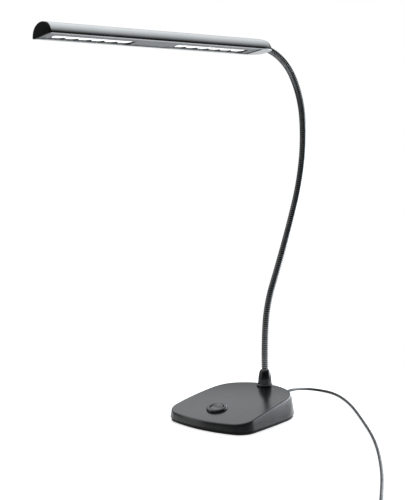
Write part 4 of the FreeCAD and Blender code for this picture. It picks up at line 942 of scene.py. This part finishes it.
def add_head_shell(material):
    """The extruded arch with its wall and the two lips that hold the plate."""
    outside = closed_d(corner=SHELL_CORNER)[FLOOR_POINTS:]
    inside = arch(HEAD_HALF, HEAD_TALL, HEAD_SHOULDER, HEAD_WALL, HEAD_LIP)[::-1]
    edge = HEAD_HALF - HEAD_WALL - LIP_WIDTH
    lip_left = np.array([(-edge - 0.2, 0.0), (-edge, 0.2), (-edge, HEAD_LIP)])
    loop = np.concatenate([outside, lip_left, inside, lip_left[::-1] * (-1, 1)])
    start, end = NOSE_LENGTH, HEAD_END - CAP_THICK
    rings = sweep_along_head([loop] * 4, (start, start + SHELL_ROW, end - SHELL_ROW, end))
    shell = add_piece("head_shell", *closed_loft(rings), material, HEAD_CREASE)
    return finish_piece(shell, "head", "head_housing")


def add_nose(material):
    """The round end: the small D at the neck grows into the head's D by a circle's rise."""
    share = np.concatenate([[0.0, 0.004, 0.015, 0.035], np.linspace(0.06, 1.0, 26)])
    full = closed_d()
    small = full * (NOSE_HALF / HEAD_HALF, NOSE_TALL / HEAD_TALL)
    swell = np.sqrt(1 - (1 - share) ** 2)
    outlines = [small + (full - small) * grown for grown in swell]
    middle = np.array([0.0, NOSE_MIDDLE])
    easing = np.clip(1 - (share / NOSE_EASE_LENGTH), 0, 1) ** 2 * NOSE_EASE
    outlines = [middle + (outline - middle) * (1 - ease) for outline, ease in zip(outlines, easing)]
    rings = sweep_along_head(outlines, share * NOSE_LENGTH)
    nose = add_piece("head_nose", *closed_loft(rings), material)
    return finish_piece(nose, "head", "nose_cap")


def add_end_cap(material):
    """Flat black cap whose rim is rounded over."""
    insets = (0.05, 0.0, 0.0, 0.12, 0.35, 0.7)
    places = (0.0, 0.15, CAP_THICK - 0.7, CAP_THICK - 0.35, CAP_THICK - 0.1, CAP_THICK)
    rings = sweep_along_head([closed_d(inset) for inset in insets],
                             [HEAD_END - CAP_THICK + place for place in places])
    cap = add_piece("head_end_cap", *closed_loft(rings), material)
    return finish_piece(cap, "head", "end_cap")


# ---------------------------------------------------------------- the lamp

bar_axes = HEAD_TURN.transposed()
# Each finish: its name, its two tones, and the span of its roughness.
roof_black = finish("satin_black_coat", (0.007, 0.007, 0.0075), (0.010, 0.010, 0.0105), (0.20, 0.25),
                    grain=1500.0, depth=0.010)
band_black = finish("black_plate", (0.004, 0.004, 0.004), (0.006, 0.006, 0.006), (0.45, 0.6), specular=0.12)
gloss_black = finish("gloss_black_moulding", (0.010, 0.010, 0.011), (0.014, 0.014, 0.015), (0.14, 0.22),
                     patch=60.0, depth=0.004)
nut_black = finish("satin_black_moulding", (0.006, 0.006, 0.007), (0.009, 0.009, 0.010), (0.16, 0.24),
                   patch=90.0, grain=1900.0, depth=0.006)
wire_black = finish("blackened_wire", (0.10, 0.102, 0.104), (0.15, 0.152, 0.155), (0.16, 0.24),
                    metallic=1.0, patch=120.0, depth=0.003)
head_grey = finish("grey_anodised", (0.37, 0.38, 0.38), (0.41, 0.42, 0.42), (0.15, 0.20), metallic=1.0,
                   patch=25.0, grain=2600.0, depth=0.004, lines=bar_axes)
plate_grey = finish("grey_anodised_plate", (0.145, 0.152, 0.156), (0.175, 0.182, 0.186), (0.36, 0.46),
                    metallic=0.6, patch=30.0, grain=2600.0, depth=0.004, lines=bar_axes)
cap_black = finish("matt_black_cap", (0.003, 0.003, 0.003), (0.005, 0.005, 0.005), (0.5, 0.65), specular=0.08)
# Painted shade: the windows' walls are coloured near black where the shade of the recess falls.
painted_shade_wall = finish("window_wall_painted_shade", (0.02, 0.021, 0.022), (0.03, 0.031, 0.032), (0.4, 0.5))
# White reflector with a painted glow: its emission stands in for the LEDs' light falling on it.
white_cup_painted_glow = finish("white_reflector_painted_glow", (0.86, 0.86, 0.85), (0.9, 0.9, 0.89), (0.15, 0.25), depth=0.003,
                   emission=((1.0, 1.0, 1.0), 0.55))
led_yellow = finish("led_resin", (0.93, 0.88, 0.55), (0.96, 0.92, 0.66), (0.2, 0.3), patch=300.0,
                    emission=((1.0, 0.98, 0.92), 2.0))
board_green = finish("board_mask", (0.02, 0.12, 0.05), (0.03, 0.16, 0.07), (0.3, 0.45), patch=200.0)
part_black = finish("component_body", (0.015, 0.015, 0.016), (0.03, 0.03, 0.03), (0.4, 0.6))
steel = finish("zinc_plated_steel", (0.55, 0.55, 0.53), (0.65, 0.65, 0.64), (0.25, 0.4), metallic=1.0)
dark_steel = finish("blackened_screw", (0.03, 0.03, 0.03), (0.06, 0.06, 0.06), (0.3, 0.45), metallic=0.8)
cast_grey = finish("raw_casting", (0.10, 0.10, 0.10), (0.16, 0.155, 0.15), (0.6, 0.85), metallic=0.5,
                   grain=700.0, depth=0.15)
brass = finish("contact_brass", (0.72, 0.58, 0.30), (0.80, 0.66, 0.36), (0.2, 0.35), metallic=1.0)
nickel = finish("nickel_blade", (0.62, 0.60, 0.55), (0.70, 0.68, 0.63), (0.18, 0.3), metallic=1.0)
rubber = finish("matt_rubber", (0.012, 0.012, 0.012), (0.022, 0.022, 0.021), (0.55, 0.75), grain=1200.0)
lead_black = finish("lead_sheath", (0.010, 0.010, 0.010), (0.016, 0.016, 0.016), (0.42, 0.58), patch=80.0,
                    grain=1300.0, depth=0.01)
adapter_black = finish("spark_textured_case", (0.016, 0.016, 0.017), (0.024, 0.024, 0.025), (0.5, 0.62),
                       grain=1600.0, depth=0.05)
mark_grey = finish("printed_mark", (0.30, 0.30, 0.30), (0.36, 0.36, 0.36), (0.4, 0.5), depth=0.002)

add_camera()
add_world()
add_floor()
# Each softbox: its place, what it faces, its width and height, its watts and its colour.
add_softbox("top_box", (-0.5, 0.2, 1.5), (0.0, 0.0, 0.2), (0.7, 0.7), 4.5, mirrored=False)
add_softbox("right_panel", (0.62, 0.80, 0.18), (0.0, 0.06, 0.18), (0.7, 0.34), 2.6, (0.90, 0.95, 1.0))
add_softbox("rear_panel", (0.12, 1.10, 0.19), (0.0, 0.06, 0.19), (1.2, 0.36), 9.0, (0.84, 0.92, 1.0))
add_softbox("left_panel", (-0.78, -0.78, 0.24), (0.0, 0.0, 0.2), (0.45, 0.45), 0.9)

lead = add_lead(lead_black)
add_base_shell(roof_black)
relief = add_relief(rubber)
add_seat("lead_boss", roof_black, (0.0, LEAD_FACE, LEAD_HEIGHT), (0, 1, 0), LEAD_BOSS)
add_seat("neck_boss", roof_black, (0.0, COLLAR_Y, SEAT_TOP), (0, 0, 1), NECK_BOSS)
# Dressed nodes: the node, its piece, its finish, and how far its edges are broken.
dress("base_plate", "underside_plate", band_black, 0.4 * MM)
dress("foot_pad", "foot_cushion", rubber, 0.2 * MM)
add_collar(nut_black)
add_switch(gloss_black, mark_grey)
add_neck(wire_black)
add_head_shell(head_grey)
add_nose(head_grey)
add_end_cap(cap_black)
dress("head_plate", "window_plate", plate_grey, 0.12 * MM)
dress("head_screws", "plate_screws", dark_steel, 0.05 * MM)
# Each window's frame is near black below the parting, a painted shade on its walls, and white with a painted
# glow beyond it.
frame_parting = Vector(to_head([(0.0, 0.0, FRAME_LIP)])[0])
for i in (1, 2):
    dress(f"light_frame_{i}", f"scalloped_frame_{i}", painted_shade_wall,
          parting=(frame_parting, HEAD_TURN @ Vector((0, 0, 1)), white_cup_painted_glow))
    # The reflector trays are white and carry the painted glow.
    dress(f"reflector_{i}", f"reflector_tray_{i}", white_cup_painted_glow, 0.1 * MM)
    dress(f"leds_{i}", f"led_row_{i}", led_yellow, 0.1 * MM)
    dress(f"led_board_{i}", f"led_strip_board_{i}", board_green)
adapter = dress("power_adapter", "plug_in_supply", adapter_black, 0.3 * MM)
prongs = nodes["adapter_prongs"]
prongs.data.materials[0] = nickel
tie = dress("cord_tie", "lead_tie", rubber, 0.1 * MM)
dress("base_screws", "underside_screws", steel, 0.1 * MM)
dress("collar_nut", "hex_nut", steel, 0.3 * MM)
dress("base_weight", "ballast", cast_grey, 0.5 * MM)
dress("driver_board", "driver_panel", board_green)
dress("driver_parts", "driver_components", part_black, 0.2 * MM)
dress("switch_terminals", "switch_blades", brass, 0.1 * MM)

scene = bpy.context.scene
scene.view_settings.view_transform = "Standard"
